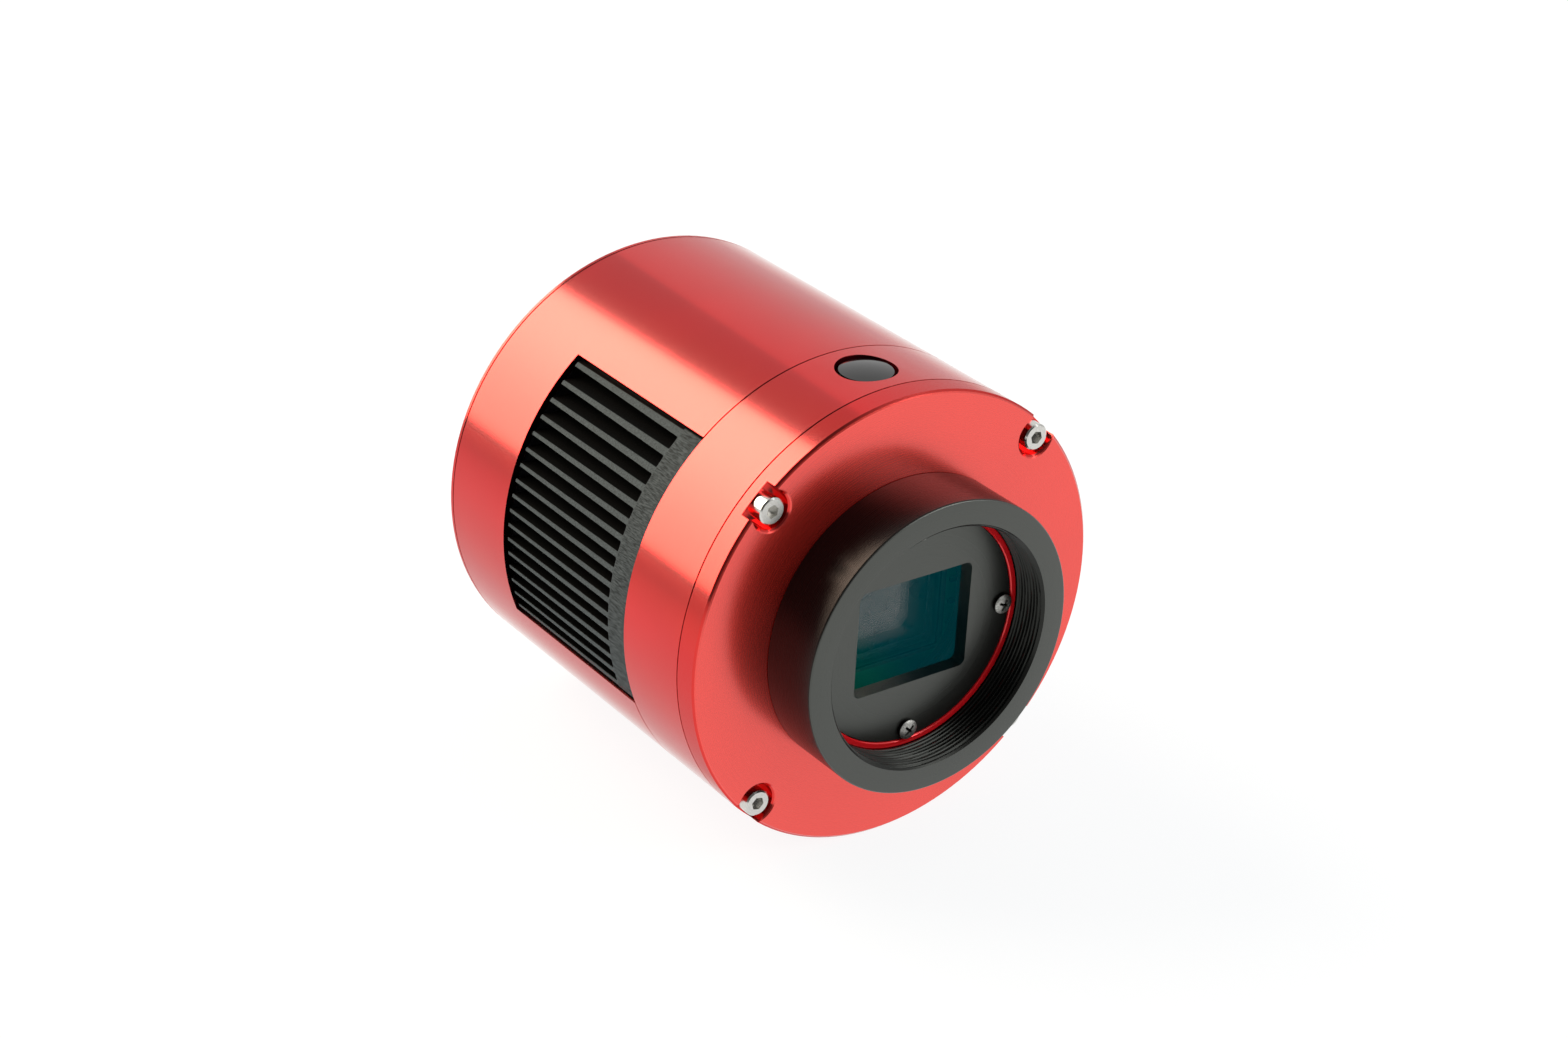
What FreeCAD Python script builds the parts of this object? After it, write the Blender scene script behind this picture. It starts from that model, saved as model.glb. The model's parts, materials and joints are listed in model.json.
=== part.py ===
"""Cooled astronomy camera: a parametric document with one sub-part per physical piece.

Frame: the origin is the centre of the front face of the T2 extender ring. The optical axis
is Y: light comes in from -Y and the fan blows out at +Y. Z is up, towards the port plug.
"""
import FreeCAD, Part
import math
import os

import Sketcher
from FreeCAD import Placement, Rotation, Vector

# Driving dimensions in millimetres, angles in degrees. Each one is a cell of the sheet.
SIZES = {
    # outside of the body
    "body_radius": 39.0,
    "edge_chamfer": 0.5,
    "seam_chamfer": 0.15,
    # T2 (M42 x 0.75) extender ring
    "ring_length": 11.0,
    "ring_radius": 25.25,
    "ring_chamfer": 0.4,
    "thread_radius": 20.594,
    "thread_end": 5.7,
    "mouth_radius": 21.15,
    "counterbore_radius": 21.0,
    # front plate with its male boss and the notches for the cap screws
    "plate_thickness": 4.5,
    "boss_height": 4.36,
    "boss_radius": 20.95,
    "boss_bore_radius": 19.65,
    "lip_chamfer": 0.4,
    "notch_chamfer": 0.45,
    "notch_radius": 3.2,
    "notch_depth": 2.4,
    "cap_screw_circle": 36.45,
    "cap_head_radius": 2.25,
    "cap_head_height": 2.5,
    "cap_shank_radius": 1.25,
    "cap_shank_length": 8.0,
    # window, its retainer and seal
    "retainer_depth": 4.1,
    "retainer_thickness": 2.6,
    "retainer_radius": 19.5,
    "aperture_width": 22.2,
    "aperture_height": 18.7,
    "aperture_corner": 1.2,
    "retainer_screw_circle": 17.85,
    "retainer_head_radius": 1.7,
    "window_seat_radius": 16.4,
    "window_radius": 16.2,
    "window_thickness": 2.0,
    "window_seal_radius": 15.3,
    "light_radius": 14.2,
    "sensor_room_radius": 17.4,
    "sensor_room_depth": 1.6,
    "seal_section": 0.55,
    # front housing with its air port
    "housing_length": 15.0,
    "chamber_radius": 32.0,
    "housing_floor": 3.5,
    "cooler_opening_radius": 24.0,
    "front_seal_radius": 33.4,
    "rear_seal_radius": 34.5,
    "port_from_seam": 7.5,
    "port_radius": 5.05,
    "port_floor": 37.45,
    "pocket_radius": 3.6,
    "pocket_floor": 33.0,
    "plug_radius": 4.4,
    # sensor and its board
    "sensor_depth": 4.9,
    "package_width": 26.0,
    "package_height": 21.0,
    "package_thickness": 2.5,
    "sensor_width": 18.9,
    "sensor_height": 14.6,
    "sensor_board_side": 44.0,
    "board_thickness": 1.6,
    "board_post_circle": 27.3,
    "finger_width": 17.6,
    "finger_height": 13.6,
    # two-stage thermoelectric cooler
    "ceramic_thickness": 0.8,
    "cold_side": 24.0,
    "middle_side": 27.0,
    "hot_side": 30.0,
    # heat sink
    "sink_radius": 37.5,
    "sink_window_radius": 38.6,
    "sink_base": 5.0,
    "fin_length": 30.4,
    "fin_pitch": 2.6,
    "slot_root": 1.7,
    "slot_mouth": 2.1,
    "sink_screw_circle": 28.5,
    "flex_start": 18.2,
    "flex_height": 22.1,
    "lead_height": 19.5,
    "lead_offset": 8.6,
    "fan_lead_offset": 15.1,
    "fan_lead_height": 23.2,
    # rear shell
    "shell_wall": 1.2,
    "shell_length": 52.6,
    "window_length": 36.2,
    "window_start": 130.0,
    "window_end": 201.3,
    "window_margin_angle": 0.6,
    # rear cover and posts
    "cover_rim": 1.2,
    "cover_thickness": 2.0,
    "spigot_gap": 0.05,
    "post_circle": 33.6,
    "post_flat": 2.5,
    "main_board_radius": 36.6,
    "main_board_gap": 2.1,
    # fan
    "fan_lift": 5.0,
    "fan_side": 50.0,
    "fan_depth": 10.0,
    "fan_corner": 4.0,
    "fan_bore_radius": 23.8,
    "fan_hub_radius": 12.0,
    "fan_blade_radius": 23.0,
    "fan_screw_offset": 20.0,
    "fan_opening_radius": 24.0,
    "shaft_radius": 1.0,
    "shaft_clearance": 0.03,
    "sleeve_radius": 2.0,
    "hub_thickness": 1.5,
    "stator_length": 3.4,
    # sockets
    "usb3_width": 12.0,
    "usb3_height": 10.9,
    "usb3_offset": -10.0,
    "usb3_drop": 27.0,
    "usb2_width": 5.8,
    "usb2_height": 13.1,
    "usb2_offset": 31.1,
    "usb2_lift": 1.0,
    "jack_width": 9.0,
    "jack_height": 10.0,
    "jack_offset": 8.6,
    "jack_drop": 27.0,
    "countersink_radius": 2.9,
}

FIN_SLOTS = 30
FAN_BLADES = 7
POST_ANGLES = (30, 90)
GRILLE_RINGS = ((13.2, 17.8), (19.2, 23.6))
GRILLE_SPOKES = 4
GRILLE_SLOT_ANGLE = 76

document = FreeCAD.newDocument("CooledCamera")
sheet = document.addObject("Spreadsheet::Sheet", "Sizes")
for row, (alias, value) in enumerate(SIZES.items(), start=1):
    sheet.set(f"A{row}", alias.replace("_", " "))
    sheet.set(f"B{row}", str(value))
    sheet.setAlias(f"B{row}", alias)
document.recompute()


# ---------------------------------------------------------------- sizes and drawing helpers


class Size:
    """A number that remembers the sheet formula it comes from."""

    def __init__(self, value, formula):
        self.value = float(value)
        self.formula = formula

    def __add__(self, other):
        other = size(other)
        return Size(self.value + other.value, f"({self.formula} + {other.formula})")

    def __sub__(self, other):
        other = size(other)
        return Size(self.value - other.value, f"({self.formula} - {other.formula})")

    def __rsub__(self, other):
        return size(other) - self

    def __mul__(self, other):
        other = size(other)
        return Size(self.value * other.value, f"({self.formula} * {other.formula})")

    def __truediv__(self, other):
        other = size(other)
        return Size(self.value / other.value, f"({self.formula} / {other.formula})")

    def __neg__(self):
        return Size(-self.value, f"(0 - {self.formula})")

    __radd__ = __add__
    __rmul__ = __mul__


def size(number):
    """A Size from a plain number, or the Size itself."""
    if isinstance(number, Size):
        return number
    return Size(number, f"({float(number)})")


def cosine(degrees):
    degrees = size(degrees)
    return Size(math.cos(math.radians(degrees.value)), f"cos({degrees.formula} * 1 deg)")


def sine(degrees):
    degrees = size(degrees)
    return Size(math.sin(math.radians(degrees.value)), f"sin({degrees.formula} * 1 deg)")


def root(number):
    return Size(math.sqrt(number.value), f"sqrt({number.formula})")


class Sizes:
    """The sheet's cells as attributes, so that S.body_radius is the cell of that name."""

    def __init__(self, values):
        for alias, value in values.items():
            setattr(self, alias, Size(value, f"Sizes.{alias}"))


S = Sizes(SIZES)


def origin_feature(body, role):
    """The body's own origin plane or axis with that role."""
    return next(item for item in body.Origin.OriginFeatures if item.Role == role)


def new_body(label, turn=0.0, lift=None):
    """A body named after its piece, turned about the optical axis and lifted along Z."""
    body = document.addObject("PartDesign::Body", label)
    body.Label = label
    body.AllowCompound = True
    body.Placement = Placement(Vector(0, 0, 0), Rotation(Vector(0, 1, 0), -turn))
    if lift is not None:
        body.setExpression(".Placement.Base.z", lift.formula)
    return body


class Drawing:
    """A sketch parallel to an origin plane of its body, with every point tied to the sheet.

    XZ_Plane drawings lie across the optical axis at a given Y, XY_Plane ones at a given Z
    and YZ_Plane ones at a given X. Outlines run anticlockwise; a third value on a point is
    the radius of the arc to the next point, positive where the arc bulges outwards.
    """

    def __init__(self, body, name, role, at, lift=0):
        self.role = role
        self.sketch = body.newObject("Sketcher::SketchObject", name + "Sketch")
        self.sketch.AttachmentSupport = [(origin_feature(body, role), "")]
        self.sketch.MapMode = "FlatFace"
        offset = -size(at) if role == "XZ_Plane" else size(at)
        self.sketch.setExpression(".AttachmentOffset.Base.z", offset.formula)
        self.sketch.setExpression(".AttachmentOffset.Base.y", size(lift).formula)

    def tie(self, kind, amount, *where):
        constraint = Sketcher.Constraint(kind, *where, amount.value)
        index = self.sketch.addConstraint(constraint)
        self.sketch.setExpression(f"Constraints[{index}]", amount.formula)

    def pin(self, geometry, point, x, y):
        self.tie("DistanceX", x, -1, 1, geometry, point)
        self.tie("DistanceY", y, -1, 1, geometry, point)

    def circle(self, x, y, radius):
        x, y, radius = size(x), size(y), size(radius)
        centre = Vector(x.value, y.value, 0)
        index = self.sketch.addGeometry(Part.Circle(centre, Vector(0, 0, 1), radius.value))
        self.pin(index, 3, x, y)
        self.tie("Radius", radius, index)
        return self

    def outline(self, points):
        """A closed outline of straight lines and arcs."""
        corners = [(size(point[0]), size(point[1])) for point in points]
        bends = [size(point[2]) if len(point) > 2 else None for point in points]
        ends = []
        for number, bend in enumerate(bends):
            first = Vector(corners[number][0].value, corners[number][1].value, 0)
            following = corners[(number + 1) % len(corners)]
            second = Vector(following[0].value, following[1].value, 0)
            if bend is None:
                index = self.sketch.addGeometry(Part.LineSegment(first, second))
                ends.append((index, 1, 2))
                continue
            index, start, end = self.add_arc(first, second, bend)
            ends.append((index, start, end))
        for number, (index, start, end) in enumerate(ends):
            self.pin(index, start, *corners[number])
            next_index, next_start, _ = ends[(number + 1) % len(ends)]
            joint = Sketcher.Constraint("Coincident", index, end, next_index, next_start)
            self.sketch.addConstraint(joint)
        return self

    def add_arc(self, first, second, bend):
        """An arc between two points, and which of its ends is the first one."""
        radius = abs(bend.value)
        chord = second - first
        half = chord.Length / 2
        rise = radius - math.sqrt(max(radius * radius - half * half, 0.0))
        outwards = Vector(chord.y, -chord.x, 0).normalize()
        side = 1 if bend.value > 0 else -1
        middle = (first + second) / 2 + outwards * rise * side
        index = self.sketch.addGeometry(Part.Arc(first, middle, second))
        self.tie("Radius", bend if side > 0 else -bend, index)
        return (index, 1, 2) if side > 0 else (index, 2, 1)

    def box(self, x, y, width, height, corner=None):
        """A rectangle about a centre, with rounded corners if corner is given."""
        left, right = size(x) - size(width) / 2, size(x) + size(width) / 2
        low, high = size(y) - size(height) / 2, size(y) + size(height) / 2
        if corner is None:
            return self.outline([(left, low), (right, low), (right, high), (left, high)])
        c = size(corner)
        return self.outline([
            (left + c, low), (right - c, low, c), (right, low + c), (right, high - c, c),
            (right - c, high), (left + c, high, c), (left, high - c), (left, low + c, c),
        ])

    def hexagon(self, x, y, across_flats):
        """A regular hexagon with two flats facing along the drawing's Y."""
        corner_radius = size(across_flats) / 2 / cosine(30)
        return self.outline([
            (size(x) + corner_radius * cosine(60 * side), size(y) + corner_radius * sine(60 * side))
            for side in range(6)
        ])

    def cross(self, x, y, reach, width):
        """A plus-shaped outline for a cross recess."""
        x, y, a, b = size(x), size(y), size(reach), size(width) / 2
        steps = [(a, -b), (a, b), (b, b), (b, a), (-b, a), (-b, b)]
        steps += [(-a, b), (-a, -b), (-b, -b), (-b, -a), (b, -a), (b, -b)]
        return self.outline([(x + across, y + up) for across, up in steps])


def extrude(body, name, drawing, length, cut=False):
    """Pad or pocket towards +Y, +Z or +X, whichever the drawing faces."""
    feature = body.newObject("PartDesign::Pocket" if cut else "PartDesign::Pad", name)
    feature.Profile = drawing.sketch
    feature.Reversed = (drawing.role == "XZ_Plane") != cut
    feature.setExpression("Length", size(length).formula)
    return feature


def across(body, name, start, length, cut=False, lift=0):
    """Returns an empty drawing across the optical axis and the feature it extrudes into."""
    drawing = Drawing(body, name, "XZ_Plane", start, lift)
    return drawing, extrude(body, name, drawing, length, cut)


def turn_outline(body, name, points, role="XY_Plane", at=0, axis_x=None, cut=False):
    """Turns an outline of (radius, length) points about the drawing's vertical axis."""
    drawing = Drawing(body, name, role, at)
    axis = "V_Axis"
    if axis_x is not None:
        line = Part.LineSegment(Vector(axis_x.value, 0, 0), Vector(axis_x.value, 10, 0))
        index = drawing.sketch.addGeometry(line, True)
        drawing.pin(index, 1, axis_x, size(0))
        drawing.pin(index, 2, axis_x, size(10))
        points = [(axis_x + point[0],) + tuple(point[1:]) for point in points]
        axis = "Axis0"
    drawing.outline(points)
    feature = body.newObject("PartDesign::Groove" if cut else "PartDesign::Revolution", name)
    feature.Profile = drawing.sketch
    feature.ReferenceAxis = (drawing.sketch, [axis])
    feature.Angle = 360
    return feature


def around(body, name, features, count, axis=None):
    """Repeats features evenly about the optical axis, or about another given axis."""
    pattern = body.newObject("PartDesign::PolarPattern", name)
    pattern.Originals = features
    pattern.Axis = axis or (origin_feature(body, "Y_Axis"), [""])
    pattern.Angle = 360
    pattern.Occurrences = count
    body.Tip = pattern
    return pattern


def upwards(body, name, feature, count, pitch):
    """Repeats a feature along Z."""
    rows = body.newObject("PartDesign::LinearPattern", name)
    rows.Originals = [feature]
    rows.Direction = (origin_feature(body, "Z_Axis"), [""])
    rows.setExpression("Length", (pitch * (count - 1)).formula)
    rows.Occurrences = count
    body.Tip = rows


def seal(label, radius, middle, section):
    """An O-ring about the optical axis."""
    body = new_body(label)
    drawing = Drawing(body, "Section", "XY_Plane", 0).circle(radius, middle, section)
    ring = body.newObject("PartDesign::Revolution", "Ring")
    ring.Profile = drawing.sketch
    ring.ReferenceAxis = (drawing.sketch, ["V_Axis"])
    ring.Angle = 360


def slabs(label, boxes, start, thickness, corner=None):
    """Flat rectangular pieces of one thickness, given as (x, z, width, height)."""
    body = new_body(label)
    drawing, _ = across(body, "Slab", start, thickness)
    for x, z, width, height in boxes:
        drawing.box(x, z, width, height, corner)
    return body


# ------------------------------------------------------------- places along the optical axis

plate_face = S.ring_length
plate_back = plate_face + S.plate_thickness
boss_top = plate_face - S.boss_height
retainer_front = plate_face - S.retainer_depth
retainer_back = retainer_front + S.retainer_thickness
window_back = retainer_back + S.window_thickness
seal_groove_depth = S.seal_section * 2 + 0.1
seal_groove_half = S.seal_section + 0.1
window_floor = window_back + seal_groove_depth
housing_back = plate_back + S.housing_length
housing_floor = housing_back - S.housing_floor
sensor_plane = plate_face + S.sensor_depth
package_front = sensor_plane - 0.6
package_back = package_front + S.package_thickness
sensor_board_back = package_back + S.board_thickness
cover_glass_thickness = size(0.7)
pad_thickness = size(0.3)
finger_front = package_back + pad_thickness
hot_plate_front = housing_back - S.ceramic_thickness
lower_pellets_height = size(1.5)
upper_pellets_height = size(1.4)
middle_plate_back = hot_plate_front - lower_pellets_height
middle_plate_front = middle_plate_back - S.ceramic_thickness
cold_plate_back = middle_plate_front - upper_pellets_height
cold_plate_front = cold_plate_back - S.ceramic_thickness
sink_base_back = housing_back + S.sink_base
fin_tips = sink_base_back + S.fin_length
shell_back = housing_back + S.shell_length
cover_back = shell_back + S.cover_rim
cover_front = cover_back - S.cover_thickness
main_board_front = fin_tips + S.main_board_gap
main_board_back = main_board_front + S.board_thickness
fan_front = cover_front - S.fan_depth
hub_front = cover_front - S.hub_thickness
rotor_front = fan_front + 0.7
rotor_back = hub_front - 0.4
tube_front = rotor_front + 2.5
stator_front = tube_front + 0.4
socket_back = cover_back - 0.3
socket_height = size(1.6)
flex_socket_height = size(1.2)
fan_socket_height = size(2.4)
port_middle = plate_back + S.port_from_seam


# -------------------------------------------------------------------------------- front end


def make_extender_ring():
    body = new_body("t2_extender_ring")
    small = S.seam_chamfer
    turn_outline(body, "Ring", [
        (S.mouth_radius, 0),
        (S.ring_radius - S.ring_chamfer, 0),
        (S.ring_radius, S.ring_chamfer),
        (S.ring_radius, plate_face - small),
        (S.ring_radius - small, plate_face),
        (S.counterbore_radius + small, plate_face),
        (S.counterbore_radius, plate_face - small),
        (S.counterbore_radius, S.thread_end),
        (S.thread_radius, S.thread_end),
        (S.thread_radius, S.mouth_radius - S.thread_radius),
    ])


def make_front_plate():
    """The plate is drawn with a notch at +X, then turned an eighth of a turn."""
    body = new_body("front_plate", turn=45)
    small = S.seam_chamfer
    turn_outline(body, "Plate", [
        (S.light_radius, window_floor),
        (S.window_seat_radius, window_floor),
        (S.window_seat_radius, retainer_back),
        (S.boss_bore_radius, retainer_back),
        (S.boss_bore_radius, boss_top + small),
        (S.boss_bore_radius + small, boss_top),
        (S.boss_radius - S.lip_chamfer, boss_top),
        (S.boss_radius, boss_top + S.lip_chamfer),
        (S.boss_radius, plate_face),
        (S.body_radius - S.edge_chamfer, plate_face),
        (S.body_radius, plate_face + S.edge_chamfer),
        (S.body_radius, plate_back - small),
        (S.body_radius - small, plate_back),
        (S.sensor_room_radius, plate_back),
        (S.sensor_room_radius, plate_back - S.sensor_room_depth),
        (S.light_radius, plate_back - S.sensor_room_depth),
    ])
    centre, half, rim = S.cap_screw_circle, S.notch_radius, S.body_radius + 2
    notch, notch_cut = across(body, "Notch", plate_face, S.notch_depth, cut=True)
    notch.outline([
        (centre, -half), (rim, -half), (rim, half), (centre, half, half), (centre - half, 0, half),
    ])
    flare = turn_outline(body, "NotchFlare", [
        (0, plate_face),
        (half + S.notch_chamfer, plate_face),
        (half, plate_face + S.notch_chamfer),
        (0, plate_face + S.notch_chamfer),
    ], axis_x=centre, cut=True)
    hole, hole_cut = across(body, "ScrewHole", plate_face, S.plate_thickness, cut=True)
    hole.circle(centre, 0, S.cap_shank_radius + 0.2)
    retainer_hole, retainer_cut = across(body, "RetainerHole", retainer_back, 4, cut=True)
    diagonal = S.retainer_screw_circle * cosine(45)
    retainer_hole.circle(diagonal, diagonal, 1)
    around(body, "Notches", [notch_cut, flare, hole_cut, retainer_cut], 4)


def make_plate_cap_screws():
    body = new_body("plate_cap_screws", turn=45)
    seat = plate_face + S.notch_depth
    top = seat - S.cap_head_height
    head, shank = S.cap_head_radius, S.cap_shank_radius
    edge = 0.25
    screw = turn_outline(body, "Screw", [
        (0, top),
        (head - edge, top),
        (head, top + edge),
        (head, seat),
        (shank, seat),
        (shank, seat + S.cap_shank_length),
        (0, seat + S.cap_shank_length),
    ], axis_x=S.cap_screw_circle)
    socket, socket_cut = across(body, "Socket", top, 1.3, cut=True)
    socket.hexagon(S.cap_screw_circle, 0, 2.0)
    around(body, "Screws", [screw, socket_cut], 4)


def make_window_retainer():
    body = new_body("window_retainer")
    disc, _ = across(body, "Disc", retainer_front, S.retainer_thickness)
    disc.circle(0, 0, S.retainer_radius)
    aperture, _ = across(body, "Aperture", retainer_front, S.retainer_thickness, cut=True)
    aperture.box(0, 0, S.aperture_width, S.aperture_height, S.aperture_corner)
    hole, hole_cut = across(body, "Hole", retainer_front, S.retainer_thickness, cut=True)
    hole.circle(S.retainer_screw_circle, 0, 1.1)
    around(body, "Holes", [hole_cut], 4)


def make_retainer_screws():
    body = new_body("retainer_screws")
    head, shank = S.retainer_head_radius, size(0.95)
    head_edge = retainer_front - 0.5
    top = retainer_front - 1.1
    screw = turn_outline(body, "Screw", [
        (0, top),
        (0.6, top, 1.6),
        (head, head_edge),
        (head, retainer_front),
        (shank, retainer_front),
        (shank, retainer_back + 3.5),
        (0, retainer_back + 3.5),
    ], axis_x=S.retainer_screw_circle)
    recess, recess_cut = across(body, "Recess", top, 0.8, cut=True)
    recess.cross(S.retainer_screw_circle, 0, 0.95, 0.45)
    around(body, "Screws", [screw, recess_cut], 4)


def make_protective_window():
    body = new_body("protective_window")
    glass, _ = across(body, "Glass", retainer_back, S.window_thickness)
    glass.circle(0, 0, S.window_radius)


# ---------------------------------------------------------------- front housing and its port


def make_front_housing():
    body = new_body("front_housing")
    small, half = S.seam_chamfer, seal_groove_half
    front_seal, rear_seal = S.front_seal_radius, S.rear_seal_radius
    front_groove, rear_groove = plate_back + seal_groove_depth, housing_back - seal_groove_depth
    turn_outline(body, "Housing", [
        (S.chamber_radius, plate_back),
        (front_seal - half, plate_back),
        (front_seal - half, front_groove),
        (front_seal + half, front_groove),
        (front_seal + half, plate_back),
        (S.body_radius - small, plate_back),
        (S.body_radius, plate_back + small),
        (S.body_radius, housing_back - small),
        (S.body_radius - small, housing_back),
        (rear_seal + half, housing_back),
        (rear_seal + half, rear_groove),
        (rear_seal - half, rear_groove),
        (rear_seal - half, housing_back),
        (S.cooler_opening_radius, housing_back),
        (S.cooler_opening_radius, housing_floor),
        (S.chamber_radius, housing_floor),
    ])
    diagonal = S.cap_screw_circle * cosine(45)
    thread, thread_cut = across(body, "CapScrewThread", plate_back, 7, cut=True)
    thread.circle(diagonal, diagonal, S.cap_shank_radius + 0.02)
    post, post_cut = across(body, "PostThread", housing_floor, 2.2, cut=True)
    post.circle(S.board_post_circle * cosine(45), S.board_post_circle * cosine(45), 1.0)
    sink, sink_cut = across(body, "SinkScrewHole", housing_floor, S.housing_floor, cut=True)
    sink.circle(S.sink_screw_circle, 0, 1.6)
    around(body, "Holes", [thread_cut, post_cut, sink_cut], 4)
    for name, radius, floor in (
        ("PortMouth", S.port_radius, S.port_floor),
        ("PortPocket", S.pocket_radius, S.pocket_floor),
        ("PortVent", size(1.5), S.chamber_radius - 2),
    ):
        drawing = Drawing(body, name, "XY_Plane", floor).circle(0, port_middle, radius)
        extrude(body, name, drawing, S.body_radius + 1 - floor, cut=True)


def make_port_plug():
    body = new_body("port_plug")
    stem, neck, rise = S.pocket_radius - 0.15, S.port_floor + 0.8, size(0.4)
    dome = (S.plug_radius * S.plug_radius + rise * rise) / (rise * 2)
    turn_outline(body, "Plug", [
        (0, S.port_floor - 1),
        (stem, S.port_floor - 1),
        (stem, neck),
        (S.plug_radius, neck),
        (S.plug_radius, neck + 0.3, dome),
        (0, neck + 0.3 + rise),
    ], role="XZ_Plane", at=port_middle)


def make_port_plug_seal():
    body = new_body("port_plug_seal")
    section = 0.38
    drawing = Drawing(body, "Section", "XZ_Plane", port_middle)
    drawing.circle(S.pocket_radius + 0.4, S.port_floor + 0.4, section)
    ring = body.newObject("PartDesign::Revolution", "Ring")
    ring.Profile = drawing.sketch
    ring.ReferenceAxis = (drawing.sketch, ["V_Axis"])
    ring.Angle = 360


def make_desiccant_tablets():
    body = new_body("desiccant_tablets")
    for number in range(2):
        name = f"Tablet{number + 1}"
        floor = S.pocket_floor + 0.05 + 1.25 * number
        drawing = Drawing(body, name, "XY_Plane", floor).circle(0, port_middle, 3.3)
        extrude(body, name, drawing, 1.2)


# ------------------------------------------------------------------------------ sensor stack


def make_sensor_package():
    body = new_body("sensor_package")
    frame, _ = across(body, "Frame", package_front, S.package_thickness)
    frame.box(0, 0, S.package_width, S.package_height, 0.5)
    cavity, _ = across(body, "Cavity", package_front, 1.1, cut=True)
    cavity.box(0, 0, 20.6, 16.6, 0.8)


def make_sensor_board():
    body = new_body("sensor_board")
    board, _ = across(body, "Board", package_back, S.board_thickness)
    board.box(0, 0, S.sensor_board_side, S.sensor_board_side, 2)
    opening, _ = across(body, "Opening", package_back, S.board_thickness, cut=True)
    opening.box(0, 0, S.finger_width + 1.4, S.finger_height + 1.4, 1)
    diagonal = S.board_post_circle * cosine(45)
    hole, hole_cut = across(body, "Hole", package_back, S.board_thickness, cut=True)
    hole.circle(diagonal, diagonal, 1.1)
    around(body, "Holes", [hole_cut], 4)


def make_sensor_board_posts():
    body = new_body("sensor_board_posts", turn=45)
    middle, length = S.board_post_circle, housing_floor - sensor_board_back
    post, post_pad = across(body, "Post", sensor_board_back, length)
    post.circle(middle, 0, 2)
    stud, stud_pad = across(body, "Stud", housing_floor, 2)
    stud.circle(middle, 0, 0.95)
    bore, bore_cut = across(body, "Bore", sensor_board_back, 4, cut=True)
    bore.circle(middle, 0, 1)
    around(body, "Posts", [post_pad, stud_pad, bore_cut], 4)


def pan_screws(label, circle, seat, head, head_height, shank, shank_length, turn):
    """Four pan-head cross-recess screws on a circle, heads towards the front."""
    body = new_body(label, turn=turn)
    top = seat - head_height
    screw = turn_outline(body, "Screw", [
        (0, top),
        (head - 0.5, top, 0.7),
        (head, top + 0.5),
        (head, seat),
        (shank, seat),
        (shank, seat + shank_length),
        (0, seat + shank_length),
    ], axis_x=circle)
    recess, recess_cut = across(body, "Recess", top, head_height * 0.6, cut=True)
    recess.cross(circle, 0, head * 0.55, 0.45)
    around(body, "Screws", [screw, recess_cut], 4)


def make_sensor_board_chips():
    """Two regulators and two memories on the back, and a row of small parts at each side."""
    body = new_body("sensor_board_chips")
    regulators, _ = across(body, "Regulators", sensor_board_back, 0.9)
    for side in (-1, 1):
        regulators.box(15.5 * side, 6, 4.4, 6)
        regulators.box(15.5 * side, -5, 4.4, 4.4)
    front = package_back - 0.6
    small_parts, _ = across(body, "SmallParts", front, 0.6)
    for side in (-1, 1):
        for step in range(5):
            small_parts.box(16.5 * side, -8 + 4 * step, 1.6, 0.8)


def make_cold_finger():
    body = new_body("cold_finger")
    step = sensor_board_back + 1.0
    top, _ = across(body, "Top", finger_front, step - finger_front)
    top.box(0, 0, S.finger_width, S.finger_height, 0.5)
    base, _ = across(body, "Base", step, cold_plate_front - step)
    base.box(0, 0, S.cold_side, S.cold_side, 0.8)
    middle = (step + cold_plate_front) / 2
    bore = Drawing(body, "SensorBore", "YZ_Plane", S.cold_side / 2 - 4).circle(middle, 0, 0.85)
    extrude(body, "SensorBore", bore, 4.5, cut=True)


def make_temperature_sensor():
    body = new_body("temperature_sensor")
    middle = (sensor_board_back + 1.0 + cold_plate_front) / 2
    bead = Drawing(body, "Bead", "YZ_Plane", S.cold_side / 2 - 3.9).circle(middle, 0, 0.8)
    extrude(body, "Bead", bead, 4.6)


# ------------------------------------------------------------------------------------ cooler


def make_ceramic(label, side, start):
    slabs(label, [(0, 0, side, side)], start, S.ceramic_thickness)


def make_pellets(label, start, height, count, pitch):
    """A square grid of semiconductor pellets between two ceramic plates."""
    body = new_body(label)
    first = -pitch * (count - 1) / 2
    drawing, row = across(body, "Row", start, height)
    for column in range(count):
        drawing.box(first + pitch * column, first, 1.4, 1.4)
    upwards(body, "Rows", row, count, size(pitch))


def make_insulation():
    """A foam ring about the cooler, open below for the flex cable and the leads."""
    body = new_body("cooler_insulation")
    start = cold_plate_back + 0.2
    length = housing_back - 0.1 - start
    ring, _ = across(body, "Ring", start, length)
    ring.circle(0, 0, S.cooler_opening_radius - 0.4)
    hole, _ = across(body, "Hole", start, length, cut=True)
    hole.box(0, 0, S.hot_side + 0.8, S.hot_side + 0.8)
    gap, _ = across(body, "Gap", start, length, cut=True)
    gap.box(0, -20, 20, 12)


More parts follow.
